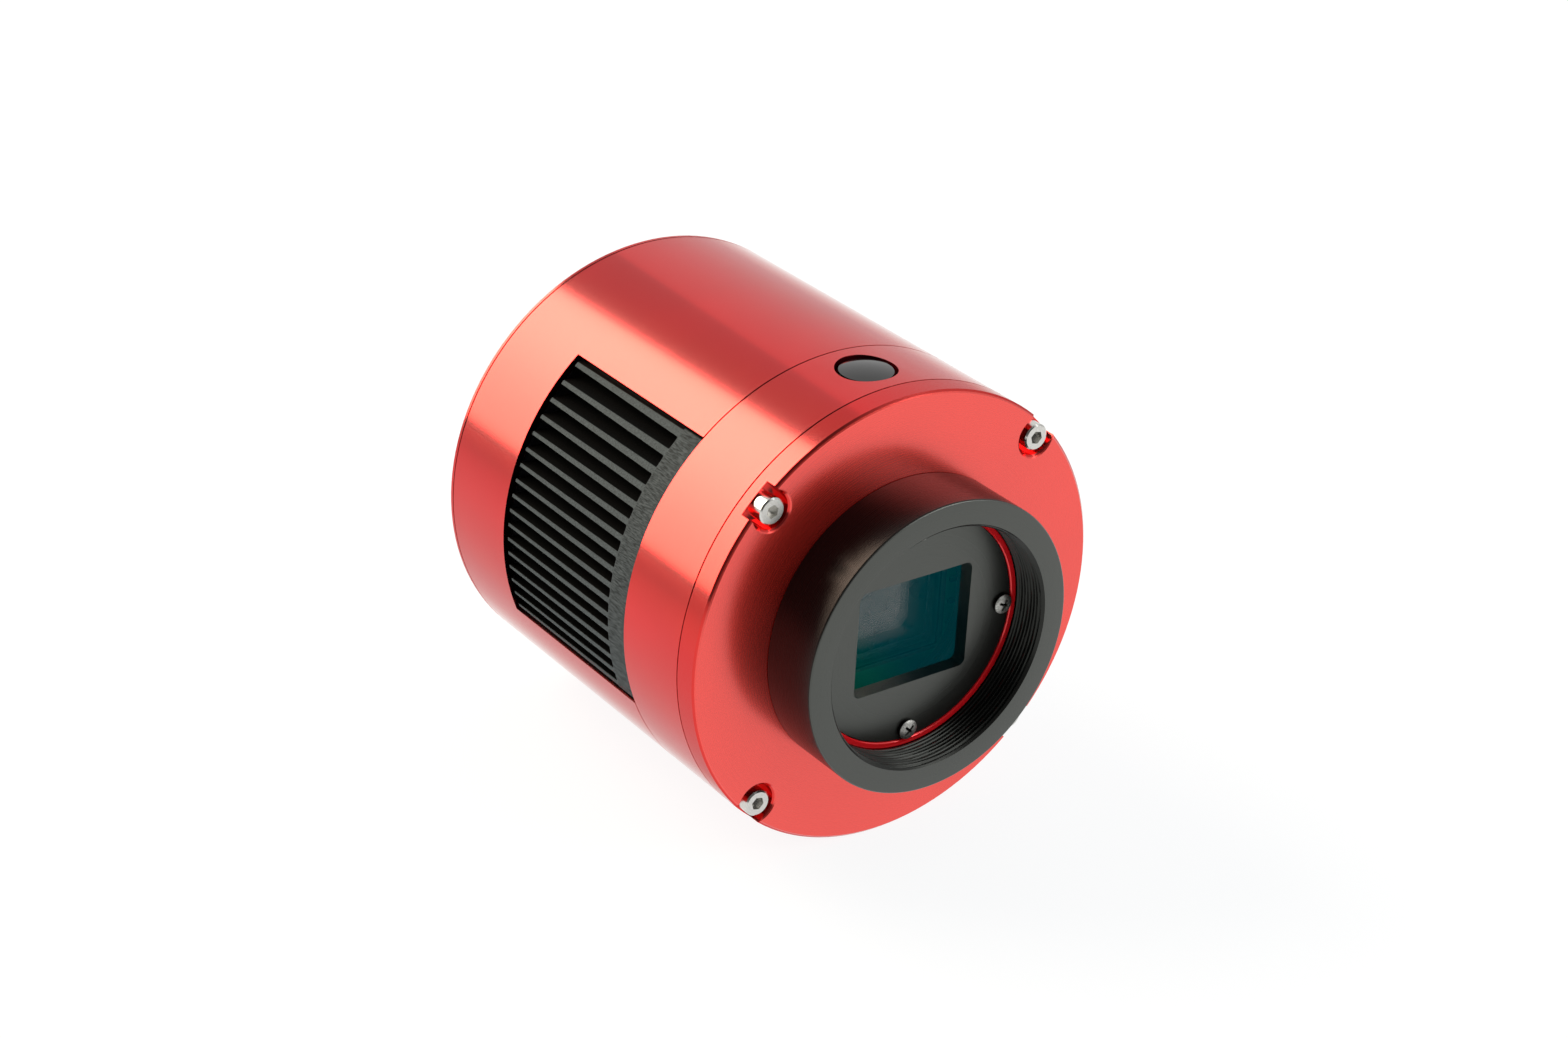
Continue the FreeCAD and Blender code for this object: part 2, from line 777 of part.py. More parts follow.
def pipe(body, name, x, radius, points, bend):
    """A round lead in a plane of constant X: down from the first point, round, then along Y."""
    (start_y, start_z), (corner_y, corner_z), (end_y, _) = points
    sketch = Drawing(body, name + "Path", "YZ_Plane", x)
    side = 1 if end_y.value > corner_y.value else -1
    turn_y = corner_y + bend * side
    down = Part.LineSegment(
        Vector(start_y.value, start_z.value, 0), Vector(corner_y.value, corner_z.value + bend, 0))
    along = Part.LineSegment(
        Vector(turn_y.value, corner_z.value, 0), Vector(end_y.value, corner_z.value, 0))
    reach = bend * (1 - math.cos(math.radians(45)))
    middle = Vector(corner_y.value + side * reach, corner_z.value + reach, 0)
    corner = Part.Arc(
        Vector(corner_y.value, corner_z.value + bend, 0), middle,
        Vector(turn_y.value, corner_z.value, 0))
    lines = [sketch.sketch.addGeometry(item) for item in (down, corner, along)]
    begin, finish = (1, 2) if side > 0 else (2, 1)
    join = Sketcher.Constraint
    sketch.sketch.addConstraint(join("Coincident", lines[0], 2, lines[1], begin))
    sketch.sketch.addConstraint(join("Coincident", lines[1], finish, lines[2], 1))
    sketch.pin(lines[0], 1, start_y, start_z)
    sketch.pin(lines[0], 2, corner_y, corner_z + bend)
    sketch.pin(lines[2], 1, turn_y, corner_z)
    sketch.pin(lines[2], 2, end_y, corner_z)
    sketch.tie("Radius", size(bend), lines[1])
    profile = Drawing(body, name + "Profile", "XY_Plane", start_z).circle(x, start_y, radius)
    feature = body.newObject("PartDesign::AdditivePipe", name)
    feature.Profile = profile.sketch
    feature.Spine = (sketch.sketch, [])
    return feature


def make_cooler_leads():
    body = new_body("cooler_leads")
    wire = size(0.6)
    plate = hot_plate_front - wire
    for name, side in (("Left", -1), ("Right", 1)):
        points = [(plate, -S.hot_side / 2 + 1.2), (plate, -S.lead_height), (main_board_front, None)]
        pipe(body, name, S.lead_offset * side, wire, points, 2)


# --------------------------------------------------------------------------------- heat sink


def make_heat_sink():
    """A cast disc with tapered fins; two sectors stand out into the shell's windows."""
    body = new_body("heat_sink")
    margin = S.window_margin_angle
    length = S.sink_base + S.fin_length
    core, _ = across(body, "Core", housing_back, length)
    core.circle(0, 0, S.sink_radius)
    start, end = S.window_start + margin, S.window_end - margin
    inner, outer = S.sink_radius - 1, S.sink_window_radius
    span = (start + end) / 2
    sector, sector_pad = across(body, "Sector", housing_back, length)
    sector.outline([
        (outer * cosine(start), outer * sine(start), outer),
        (outer * cosine(span), outer * sine(span), outer),
        (outer * cosine(end), outer * sine(end)),
        (inner * cosine(end), inner * sine(end), -inner),
        (inner * cosine(span), inner * sine(span), -inner),
        (inner * cosine(start), inner * sine(start)),
    ])
    around(body, "Sectors", [sector_pad], 2)
    make_fin_slots(body)
    rooms, rooms_cut = across(body, "PostRoom", sink_base_back, S.fin_length, cut=True)
    threads, threads_cut = across(body, "PostThread", housing_back + 1, S.sink_base, cut=True)
    for x, z in post_places():
        rooms.circle(x, z, 3.4)
        threads.circle(x, z, 1.5)
    around(body, "Posts", [rooms_cut, threads_cut], 2)
    screw, screw_cut = across(body, "ScrewThread", housing_back, 4, cut=True)
    screw.circle(S.sink_screw_circle, 0, 1.47)
    around(body, "ScrewThreads", [screw_cut], 4)
    passages, _ = across(body, "Passages", housing_back, S.sink_base, cut=True)
    passages.box(0, -S.flex_height, 13, 1)
    for side in (-1, 1):
        passages.circle(S.lead_offset * side, -S.lead_height, 0.75)


def make_fin_slots(body):
    """Parallel slots along X, wider at the fin tips, with small radii at their floors."""
    lowest = -S.fin_pitch * (FIN_SLOTS - 1) / 2
    mouth_y, floor_y = fin_tips + 1, sink_base_back
    root, mouth, bend = S.slot_root / 2, S.slot_mouth / 2, 0.3
    drawing = Drawing(body, "Slot", "YZ_Plane", -S.body_radius - 1)
    drawing.outline([
        (floor_y + bend, lowest - root),
        (mouth_y, lowest - mouth),
        (mouth_y, lowest + mouth),
        (floor_y + bend, lowest + root, bend),
        (floor_y, lowest + root - bend),
        (floor_y, lowest - root + bend, bend),
    ])
    slot = extrude(body, "Slot", drawing, S.body_radius * 2 + 2, cut=True)
    upwards(body, "Slots", slot, FIN_SLOTS, S.fin_pitch)


def post_places():
    """Two of the four posts; the other two are opposite."""
    return [(S.post_circle * cosine(angle), S.post_circle * sine(angle)) for angle in POST_ANGLES]


def make_posts(label, start, end, stud_start, bore_length):
    """Four hexagonal posts with a threaded stud in front and a threaded bore behind."""
    body = new_body(label)
    posts, posts_pad = across(body, "Post", start, end - start)
    studs, studs_pad = across(body, "Stud", stud_start, start - stud_start)
    bores, bores_cut = across(body, "Bore", end - bore_length, bore_length, cut=True)
    for x, z in post_places():
        posts.hexagon(x, z, S.post_flat * 2)
        studs.circle(x, z, 1.45)
        bores.circle(x, z, 1.5)
    around(body, "Posts", [posts_pad, studs_pad, bores_cut], 2)


# -------------------------------------------------------------------- signal path to the rear


def make_signal_flex_cable():
    """A flat cable: back from the sensor board, down, and between two fins to the rear board."""
    body = new_body("signal_flex_cable")
    half, inner, width = size(0.15), size(1.2), size(12)
    outer = inner + half * 2
    start, end = sensor_board_back + socket_height, main_board_front - flex_socket_height
    high, low = -S.flex_start, -S.flex_height
    first_bend, second_bend = start + 1.4, start + 1.4 + inner + outer
    upper, lower = high - half - inner, low + half + inner
    drawing = Drawing(body, "Strip", "YZ_Plane", -width / 2)
    drawing.outline([
        (start, high - half),
        (first_bend, high - half, -inner),
        (first_bend + inner, upper),
        (first_bend + inner, lower, outer),
        (second_bend, low - half),
        (end, low - half),
        (end, low + half),
        (second_bend, low + half, -inner),
        (first_bend + outer, lower),
        (first_bend + outer, upper, outer),
        (first_bend, high + half),
        (start, high + half),
    ])
    extrude(body, "Strip", drawing, width)


def make_board_sockets():
    """The two ends of the flat cable and the fan's connector."""
    body = new_body("board_sockets")
    front, _ = across(body, "SensorEnd", sensor_board_back, socket_height)
    front.box(0, -S.flex_start, 14.6, 2.8)
    rear, _ = across(body, "MainEnd", main_board_front - flex_socket_height, flex_socket_height)
    rear.box(0, -S.flex_height, 14.2, 1.8)
    fan, _ = across(body, "FanEnd", main_board_back, fan_socket_height)
    fan.box(S.fan_lead_offset, -S.fan_lead_height, 3.6, 3)


# ------------------------------------------------------------------------------ rear section


def make_rear_shell():
    body = new_body("rear_shell")
    small, inner = S.seam_chamfer, S.body_radius - S.shell_wall
    turn_outline(body, "Tube", [
        (inner, housing_back),
        (S.body_radius - small, housing_back),
        (S.body_radius, housing_back + small),
        (S.body_radius, shell_back - small),
        (S.body_radius - small, shell_back),
        (inner, shell_back),
    ])
    window, window_cut = across(body, "Window", housing_back, S.window_length, cut=True)
    reach, middle = S.body_radius * 2, (S.window_start + S.window_end) / 2
    angles = (S.window_start, middle, S.window_end)
    window.outline([(0, 0)] + [(cosine(angle) * reach, sine(angle) * reach) for angle in angles])
    around(body, "Windows", [window_cut], 2)


def make_main_board():
    body = new_body("main_board")
    board, _ = across(body, "Board", main_board_front, S.board_thickness)
    board.circle(0, 0, S.main_board_radius)
    opening, _ = across(body, "Opening", main_board_front, S.board_thickness, cut=True)
    opening.circle(0, S.fan_lift, S.fan_opening_radius)
    holes, holes_cut = across(body, "Hole", main_board_front, S.board_thickness, cut=True)
    for x, z in post_places():
        holes.circle(x, z, 1.6)
    around(body, "Holes", [holes_cut], 2)


def make_main_board_chips():
    """Processor, memory and regulators on the front face, a power inductor on the rear."""
    body = new_body("main_board_chips")
    chips, _ = across(body, "Chips", main_board_front - 1.2, 1.2)
    chips.box(-18, -25, 8, 8)
    chips.box(17.5, -25, 7, 5)
    for side in (-1, 1):
        chips.box(30 * side, 1, 5, 8)
    inductor, _ = across(body, "Inductor", main_board_back, 3.2)
    inductor.box(30, -11, 6, 6, 0.8)


def make_capacitors():
    body = new_body("main_board_capacitors")
    cans, _ = across(body, "Cans", main_board_back, 6)
    cans.circle(21, -24.5, 2.6)
    cans.circle(-21.5, -24.5, 2.6)


def make_socket(label, places, width, height, wall, depth):
    """Stamped metal socket shells, open to the rear."""
    body = new_body(label)
    shells, _ = across(body, "Shell", main_board_back, socket_back - main_board_back)
    bores, _ = across(body, "Bore", socket_back - depth, depth, cut=True)
    for x, z in places:
        shells.box(x, z, width, height, 0.6)
        bores.box(x, z, width - wall * 2, height - wall * 2, 0.3)


def make_usb3_insert():
    """The contact block inside the square socket."""
    body = new_body("usb3_insert")
    floor = socket_back - 11.5
    base, _ = across(body, "Base", floor, 2)
    base.box(S.usb3_offset, -S.usb3_drop, S.usb3_width - 1.4, S.usb3_height - 1.4, 0.3)
    block, _ = across(body, "Block", floor + 2, 8)
    block.box(S.usb3_offset, -S.usb3_drop - 0.9, 5.6, 3.2, 0.3)


def make_usb2_inserts():
    body = new_body("usb2_inserts")
    floor = socket_back - 12
    bases, _ = across(body, "Base", floor, 2)
    tongues, _ = across(body, "Tongue", floor + 2, 9)
    for side in (-1, 1):
        x = S.usb2_offset * side
        bases.box(x, S.usb2_lift, S.usb2_width - 1, S.usb2_height - 1, 0.3)
        tongues.box(x - 0.9, S.usb2_lift, 1.8, 11.1)


def make_dc_jack_body():
    body = new_body("dc_jack_body")
    block, _ = across(body, "Block", main_board_back, socket_back - main_board_back)
    block.box(S.jack_offset, -S.jack_drop, S.jack_width, S.jack_height, 0.8)
    bore, _ = across(body, "Bore", socket_back - 10, 10, cut=True)
    bore.circle(S.jack_offset, -S.jack_drop, 3.2)


def make_dc_jack_pin():
    body = new_body("dc_jack_pin")
    pin, _ = across(body, "Pin", socket_back - 10, 8.8)
    pin.circle(S.jack_offset, -S.jack_drop, 1.05)


def countersunk(body, name, x, z, rear, length, cut=False):
    """A countersunk screw with its flat head at the rear, or the hole it goes through."""
    head, shank, height = S.countersink_radius, size(1.45), size(1.5)
    if cut:
        head, shank = head + 0.05, size(1.65)
    profile = [
        (0, rear - length),
        (shank, rear - length),
        (shank, rear - height),
        (head, rear - 0.1),
        (head, rear),
        (0, rear),
    ]
    return turn_outline(body, name, profile, at=z, axis_x=size(x), cut=cut)


def make_rear_cover():
    """A disc with a short spigot, a ring-slot fan grille and openings for the sockets."""
    body = new_body("rear_cover")
    spigot, small = S.body_radius - S.shell_wall - S.spigot_gap, S.seam_chamfer
    turn_outline(body, "Cover", [
        (0, cover_front),
        (spigot - small, cover_front),
        (spigot, cover_front + small),
        (spigot, shell_back),
        (S.body_radius - small, shell_back),
        (S.body_radius, shell_back + small),
        (S.body_radius, cover_back - S.edge_chamfer),
        (S.body_radius - S.edge_chamfer, cover_back),
        (0, cover_back),
    ])
    half = size(GRILLE_SLOT_ANGLE / 2)
    grille, grille_cut = across(body, "Grille", cover_front, S.cover_thickness, True, S.fan_lift)
    for inner, outer in GRILLE_RINGS:
        grille.outline([
            (cosine(half) * outer, sine(-half) * outer, outer),
            (cosine(half) * outer, sine(half) * outer),
            (cosine(half) * inner, sine(half) * inner, -inner),
            (cosine(half) * inner, sine(-half) * inner),
        ])
    fan_axis = (grille.sketch, ["N_Axis"])
    around(body, "GrilleSlots", [grille_cut], GRILLE_SPOKES, fan_axis)
    offset, lift = S.fan_screw_offset, S.fan_lift
    fan_hole = countersunk(
        body, "FanHole", offset, lift + offset, cover_back, S.cover_thickness, cut=True)
    around(body, "FanHoles", [fan_hole], 4, fan_axis)
    post_holes = [
        countersunk(body, "PostHole", x, z, cover_back, S.cover_thickness, cut=True)
        for x, z in post_places()
    ]
    around(body, "PostHoles", post_holes, 2)
    sockets, _ = across(body, "Sockets", cover_front, S.cover_thickness, cut=True)
    gap = 0.6
    sockets.box(S.usb3_offset, -S.usb3_drop, S.usb3_width + gap, S.usb3_height + gap, 0.8)
    sockets.box(S.jack_offset, -S.jack_drop, S.jack_width + gap, S.jack_height + gap, 1.0)
    for side in (-1, 1):
        x = S.usb2_offset * side
        sockets.box(x, S.usb2_lift, S.usb2_width + gap, S.usb2_height + gap, 0.8)


def make_countersunk_screws(label, places, length, count, lift=None):
    body = new_body(label, lift=lift)
    screws = [countersunk(body, "Screw", x, z, cover_back, length) for x, z in places]
    recesses, recesses_cut = across(body, "Recess", cover_back - 1.0, 1.0, cut=True)
    for x, z in places:
        recesses.hexagon(x, z, 2.0)
    around(body, "Screws", screws + [recesses_cut], count)


# --------------------------------------------------------------------------------------- fan


def make_fan_frame():
    """A square frame with a round bore, a rear hub on four struts and a bearing tube."""
    body = new_body("fan_frame", lift=S.fan_lift)
    block, _ = across(body, "Block", fan_front, S.fan_depth)
    block.box(0, 0, S.fan_side, S.fan_side, S.fan_corner)
    bore, _ = across(body, "Bore", fan_front, S.fan_depth, cut=True)
    bore.circle(0, 0, S.fan_bore_radius)
    turn_outline(body, "Hub", [
        (S.sleeve_radius + 0.02, tube_front),
        (S.sleeve_radius + 0.8, tube_front),
        (S.sleeve_radius + 0.8, hub_front),
        (S.fan_hub_radius + 0.5, hub_front),
        (S.fan_hub_radius + 0.5, cover_front),
        (0, cover_front),
        (0, hub_front + 0.3),
        (S.sleeve_radius + 0.02, hub_front + 0.3),
    ])
    strut, strut_pad = across(body, "Strut", hub_front, S.hub_thickness)
    start, end, half = S.fan_hub_radius * cosine(45), S.fan_bore_radius * cosine(45) + 0.6, 0.9
    strut.outline([
        (start + half, start - half), (end + half, end - half),
        (end - half, end + half), (start - half, start + half),
    ])
    hole, hole_cut = across(body, "Hole", fan_front, S.fan_depth, cut=True)
    hole.circle(S.fan_screw_offset, S.fan_screw_offset, 1.5)
    around(body, "Corners", [strut_pad, hole_cut], 4)


def make_fan_rotor():
    """A cup over the motor with swept blades."""
    body = new_body("fan_rotor", lift=S.fan_lift)
    hub, bore = S.fan_hub_radius, S.shaft_radius + 0.01
    turn_outline(body, "Cup", [
        (bore, rotor_front),
        (hub - 0.6, rotor_front),
        (hub, rotor_front + 0.6),
        (hub, rotor_back),
        (hub - 1, rotor_back),
        (hub - 1, rotor_front + 1),
        (2.2, rotor_front + 1),
        (2.2, rotor_front + 2.2),
        (bore, rotor_front + 2.2),
    ])
    root, tip = (
        blade_section(body, name, x, sweep)
        for name, x, sweep in (("Root", hub - 0.55, 6.4), ("Tip", S.fan_blade_radius - 0.9, 9.6))
    )
    blade = body.newObject("PartDesign::AdditiveLoft", "Blade")
    blade.Profile = root.sketch
    blade.Sections = [tip.sketch]
    around(body, "Blades", [blade], FAN_BLADES)


def blade_section(body, name, x, sweep):
    """A thin cambered strip from the rotor's front to its rear."""
    front, rear, half, camber = rotor_front + 0.4, rotor_back - 0.3, size(sweep / 2), 16
    drawing = Drawing(body, name, "YZ_Plane", x)
    return drawing.outline([
        (front, half - 0.9),
        (rear, -half, camber),
        (rear, 0.9 - half),
        (front, half, -camber),
    ])


def make_fan_magnet_ring():
    body = new_body("fan_magnet_ring", lift=S.fan_lift)
    start, length = rotor_front + 1.3, 5.0
    ring, _ = across(body, "Ring", start, length)
    ring.circle(0, 0, S.fan_hub_radius - 1.05)
    ring.circle(0, 0, S.fan_hub_radius - 2.2)


def make_fan_shaft():
    body = new_body("fan_shaft", lift=S.fan_lift)
    shaft, _ = across(body, "Shaft", rotor_front + 0.2, hub_front - rotor_front - 0.3)
    shaft.circle(0, 0, S.shaft_radius)


def make_fan_bearing_sleeve():
    body = new_body("fan_bearing_sleeve", lift=S.fan_lift)
    sleeve, _ = across(body, "Sleeve", tube_front, hub_front - tube_front)
    sleeve.circle(0, 0, S.sleeve_radius)
    sleeve.circle(0, 0, S.shaft_radius + S.shaft_clearance)


def make_fan_stator():
    body = new_body("fan_stator", lift=S.fan_lift)
    ring, _ = across(body, "Ring", stator_front, S.stator_length)
    ring.circle(0, 0, 4.2)
    ring.circle(0, 0, S.sleeve_radius + 0.85)
    tooth, tooth_pad = across(body, "Tooth", stator_front, S.stator_length)
    tip = root(size(8.8 * 8.8 + 3.4 * 3.4))
    tooth.outline([
        (3.9, -0.9), (7.8, -0.9), (7.8, -3.4), (8.8, -3.4, tip),
        (8.8, 3.4), (7.8, 3.4), (7.8, 0.9), (3.9, 0.9),
    ])
    around(body, "Teeth", [tooth_pad], 4)


def make_fan_coils():
    body = new_body("fan_coils", lift=S.fan_lift)
    winding = size(0.7)
    coil, coil_pad = across(
        body, "Coil", stator_front - winding, S.stator_length + winding * 2)
    coil.box(6, 0, 2.8, 4.0, 0.6)
    core = Drawing(body, "Core", "YZ_Plane", 4)
    core.box(stator_front + S.stator_length / 2, 0, S.stator_length + 0.06, 1.86)
    core_cut = extrude(body, "Core", core, 4, cut=True)
    around(body, "Coils", [coil_pad, core_cut], 4)


def make_fan_circuit_board():
    body = new_body("fan_circuit_board", lift=S.fan_lift)
    board, _ = across(body, "Board", hub_front - 0.8, 0.8)
    board.circle(0, 0, 10.4)
    board.circle(0, 0, S.sleeve_radius + 1.1)


def make_fan_lead():
    body = new_body("fan_lead")
    wire = size(0.6)
    start_y, frame_edge = fan_front + 3, S.fan_lift - S.fan_side / 2
    points = [
        (start_y, frame_edge),
        (start_y, -S.fan_lead_height),
        (main_board_back + fan_socket_height, None),
    ]
    pipe(body, "Lead", S.fan_lead_offset, wire, points, 1.2)


# ------------------------------------------------------------------------------- all pieces


def make_front():
    make_extender_ring()
    make_front_plate()
    make_plate_cap_screws()
    make_window_retainer()
    make_retainer_screws()
    make_protective_window()
    middle = window_back + seal_groove_depth / 2
    seal("window_seal_ring", S.window_seal_radius, middle, S.seal_section)
    middle = plate_back + seal_groove_depth / 2
    seal("chamber_seal_ring", S.front_seal_radius, middle, S.seal_section)
    make_front_housing()
    make_port_plug()
    make_port_plug_seal()
    make_desiccant_tablets()


def make_sensor_and_cooler():
    cover_glass_front = package_front - cover_glass_thickness
    slabs("sensor_cover_glass", [(0, 0, 22.8, 18.6)], cover_glass_front, cover_glass_thickness, 0.4)
    slabs("sensor_die", [(0, 0, S.sensor_width, S.sensor_height)], sensor_plane, 0.5)
    make_sensor_package()
    make_sensor_board()
    make_sensor_board_posts()
    pan_screws(
        "sensor_board_screws", S.board_post_circle, package_back, 1.9, 1.3, size(0.95), 5, 45)
    make_sensor_board_chips()
    slabs("thermal_pad", [(0, 0, S.finger_width, S.finger_height)], package_back, pad_thickness)
    make_cold_finger()
    make_temperature_sensor()
    make_ceramic("cooler_cold_plate", S.cold_side, cold_plate_front)
    make_pellets("cooler_upper_pellets", cold_plate_back, upper_pellets_height, 8, 2.8)
    make_ceramic("cooler_middle_plate", S.middle_side, middle_plate_front)
    make_pellets("cooler_lower_pellets", middle_plate_back, lower_pellets_height, 9, 2.9)
    make_ceramic("cooler_hot_plate", S.hot_side, hot_plate_front)
    make_insulation()
    make_cooler_leads()
    make_signal_flex_cable()
    make_board_sockets()


def make_heat_path():
    make_heat_sink()
    pan_screws(
        "heat_sink_screws", S.sink_screw_circle, housing_floor, 2.7, 1.8, size(1.45), 7, 0)
    middle = housing_back - seal_groove_depth / 2
    seal("heat_sink_seal_ring", S.rear_seal_radius, middle, S.seal_section)
    make_posts("front_posts", sink_base_back, main_board_front, housing_back + 1.5, 4)


def make_rear():
    make_rear_shell()
    make_main_board()
    make_main_board_chips()
    make_capacitors()
    make_posts("rear_posts", main_board_back, cover_front, main_board_front - 3.6, 8)
    usb3 = [(S.usb3_offset, -S.usb3_drop)]
    usb2 = [(S.usb2_offset * side, S.usb2_lift) for side in (-1, 1)]
    make_socket("usb3_shell", usb3, S.usb3_width, S.usb3_height, 0.5, 11.5)
    make_usb3_insert()
    make_socket("usb2_shells", usb2, S.usb2_width, S.usb2_height, 0.4, 12)
    make_usb2_inserts()
    make_dc_jack_body()
    make_dc_jack_pin()
    make_rear_cover()
    make_countersunk_screws("rear_cover_screws", post_places(), 8, 2)


def make_fan():
    make_fan_frame()
    make_fan_rotor()
    make_fan_magnet_ring()
    make_fan_shaft()
    make_fan_bearing_sleeve()
    make_fan_stator()
    make_fan_coils()
    make_fan_circuit_board()
    corner = [(S.fan_screw_offset, S.fan_screw_offset)]
    make_countersunk_screws("fan_screws", corner, 10, 4, S.fan_lift)
    make_fan_lead()


def check_document():
    """Stops on a feature in error, a null or invalid piece, or a cut that removed nothing."""
    for item in document.Objects:
        if "Invalid" in item.State or "Error" in item.State:
            raise RuntimeError(f"{item.Label}: {item.State}")
        if item.TypeId in ("PartDesign::Pocket", "PartDesign::Groove"):
            if item.Shape.Volume >= item.BaseFeature.Shape.Volume - 1e-6:
                raise RuntimeError(f"{item.Label} cuts nothing")
    for body in pieces():
        if body.Shape.isNull() or not body.Shape.isValid():
            raise RuntimeError(f"{body.Label} has no valid shape")


def pieces():
    return [item for item in document.Objects if item.TypeId == "PartDesign::Body"]


make_front()
make_sensor_and_cooler()
make_heat_path()
make_rear()
make_fan()
document.recompute()
check_document()

os.makedirs("parts", exist_ok=True)
for body in pieces():
    body.Shape.exportStep(f"parts/{body.Label}.step")
print(f"{len(pieces())} pieces written")
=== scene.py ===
"""Cooled astronomy camera: materials, detail pieces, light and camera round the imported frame.

Metres, in the frame of the CAD: the optical axis is Y, light comes in from -Y, Z is up.
"""
import json
import math

import bmesh
import bpy
from mathutils import Matrix, Vector


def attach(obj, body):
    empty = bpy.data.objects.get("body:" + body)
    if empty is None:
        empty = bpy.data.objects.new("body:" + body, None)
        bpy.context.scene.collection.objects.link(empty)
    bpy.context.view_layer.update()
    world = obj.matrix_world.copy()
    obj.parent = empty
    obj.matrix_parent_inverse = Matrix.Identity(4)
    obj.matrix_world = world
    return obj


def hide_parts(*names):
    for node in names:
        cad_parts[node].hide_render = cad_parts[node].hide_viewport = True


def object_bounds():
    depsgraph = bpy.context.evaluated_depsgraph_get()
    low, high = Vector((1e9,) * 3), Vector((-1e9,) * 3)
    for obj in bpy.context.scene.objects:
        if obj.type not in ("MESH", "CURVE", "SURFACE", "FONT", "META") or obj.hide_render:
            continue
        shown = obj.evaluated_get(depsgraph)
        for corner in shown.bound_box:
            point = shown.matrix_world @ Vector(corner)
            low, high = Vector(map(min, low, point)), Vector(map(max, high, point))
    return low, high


MM = 0.001

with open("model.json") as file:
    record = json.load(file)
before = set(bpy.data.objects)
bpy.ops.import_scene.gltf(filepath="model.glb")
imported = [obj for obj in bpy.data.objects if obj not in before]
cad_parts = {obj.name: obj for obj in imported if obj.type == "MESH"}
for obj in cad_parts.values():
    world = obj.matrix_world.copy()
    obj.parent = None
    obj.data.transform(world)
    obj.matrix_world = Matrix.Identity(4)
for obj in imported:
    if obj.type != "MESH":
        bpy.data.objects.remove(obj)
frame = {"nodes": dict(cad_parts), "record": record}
cad_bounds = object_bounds()
nodes = frame["nodes"]


# ------------------------------------------------------------------------ material helpers


class Shader:
    """A small wrapper round a node tree with one Principled shader."""

    def __init__(self, name, **settings):
        self.material = bpy.data.materials.new(name)
        self.material.use_nodes = True
        self.tree = self.material.node_tree
        self.principled = self.tree.nodes["Principled BSDF"]
        for socket, value in settings.items():
            self.principled.inputs[socket.replace("_", " ")].default_value = value

    def node(self, kind, inputs=None, **settings):
        made = self.tree.nodes.new(kind)
        for key, value in settings.items():
            setattr(made, key, value)
        for key, value in (inputs or {}).items():
            if isinstance(value, bpy.types.NodeSocket):
                self.tree.links.new(value, made.inputs[key])
            else:
                made.inputs[key].default_value = value
        return made

    def link(self, output, socket):
        self.tree.links.new(output, self.principled.inputs[socket])

    def position(self):
        """The point on the object in metres."""
        return self.node("ShaderNodeTexCoord").outputs["Object"]

    def scaled(self, vector, scale):
        mapping = self.node("ShaderNodeMapping", {"Vector": vector, "Scale": scale})
        return mapping.outputs["Vector"]

    def noise(self, vector, scale, detail=3.0, roughness=0.5):
        settings = {"Vector": vector, "Scale": scale, "Detail": detail, "Roughness": roughness}
        return self.node("ShaderNodeTexNoise", settings).outputs["Fac"]

    def span(self, value, low, high, from_low=0.0, from_high=1.0):
        settings = {"Value": value, "From Min": from_low, "From Max": from_high}
        settings.update({"To Min": low, "To Max": high})
        return self.node("ShaderNodeMapRange", settings).outputs["Result"]

    def maths(self, operation, first, second=0.5, third=0.0):
        made = self.node("ShaderNodeMath", {0: first, 1: second, 2: third}, operation=operation)
        return made.outputs["Value"]

    def blend(self, factor, first, second):
        made = self.node("ShaderNodeMix", data_type="RGBA")
        sockets = [item for item in made.inputs if item.type == "RGBA"]
        self.tree.links.new(factor, made.inputs["Factor"])
        for socket, colour in zip(sockets, (first, second)):
            if isinstance(colour, bpy.types.NodeSocket):
                self.tree.links.new(colour, socket)
            else:
                socket.default_value = (*colour, 1)
        return next(item for item in made.outputs if item.type == "RGBA")

    def bump(self, height, distance):
        made = self.node("ShaderNodeBump", {"Height": height, "Distance": distance})
        self.link(made.outputs["Normal"], "Normal")


def tone(colour, level):
    """A colour made darker or paler by a factor."""
    return tuple(min(1.0, value * level) for value in colour)


def radial_coordinates(shader):
    """Distance from the optical axis, and length along it, as separate outputs."""
    parts = shader.node("ShaderNodeSeparateXYZ", {"Vector": shader.position()}).outputs
    square_x = shader.maths("MULTIPLY", parts["X"], parts["X"])
    square_z = shader.maths("MULTIPLY", parts["Z"], parts["Z"])
    radius = shader.maths("SQRT", shader.maths("ADD", square_x, square_z))
    return radius, parts["Y"]


def turned_grain(shader, pitch):
    """Fine lathe marks: they ring the optical axis on faces and on cylinders alike."""
    radius, length = radial_coordinates(shader)
    across = shader.maths("ADD", radius, length)
    vector = shader.node("ShaderNodeCombineXYZ", {"X": across}).outputs["Vector"]
    return shader.noise(vector, 1 / (pitch * MM), 2.0)


RED = (0.68, 0.014, 0.008)
FACE_RED = (0.88, 0.045, 0.03)
SEAM_RED = (0.10, 0.003, 0.003)
LIP_RED = (0.95, 0.012, 0.02)
# The air port's wall is painted this dark red as shade.
PORT_SHADE_RED = (0.1, 0.001, 0.006)
INNER_BLACK = (0.01, 0.01, 0.01)
WARM_GLINT = (1, 0.57, 0.49)

# Where the red pieces meet each other and the rear cover, in millimetres along the optical
# axis, and half a seam's width.
SEAMS = (15.5, 30.5, 83.1)
SEAM_REACH = 0.1

# The air port's place along the axis, and how far the look of its wall reaches each way, in
# millimetres. The wall is dull, and painted dark red as shade.
PORT_PLACE = 23.0
PORT_REACH = 5.5

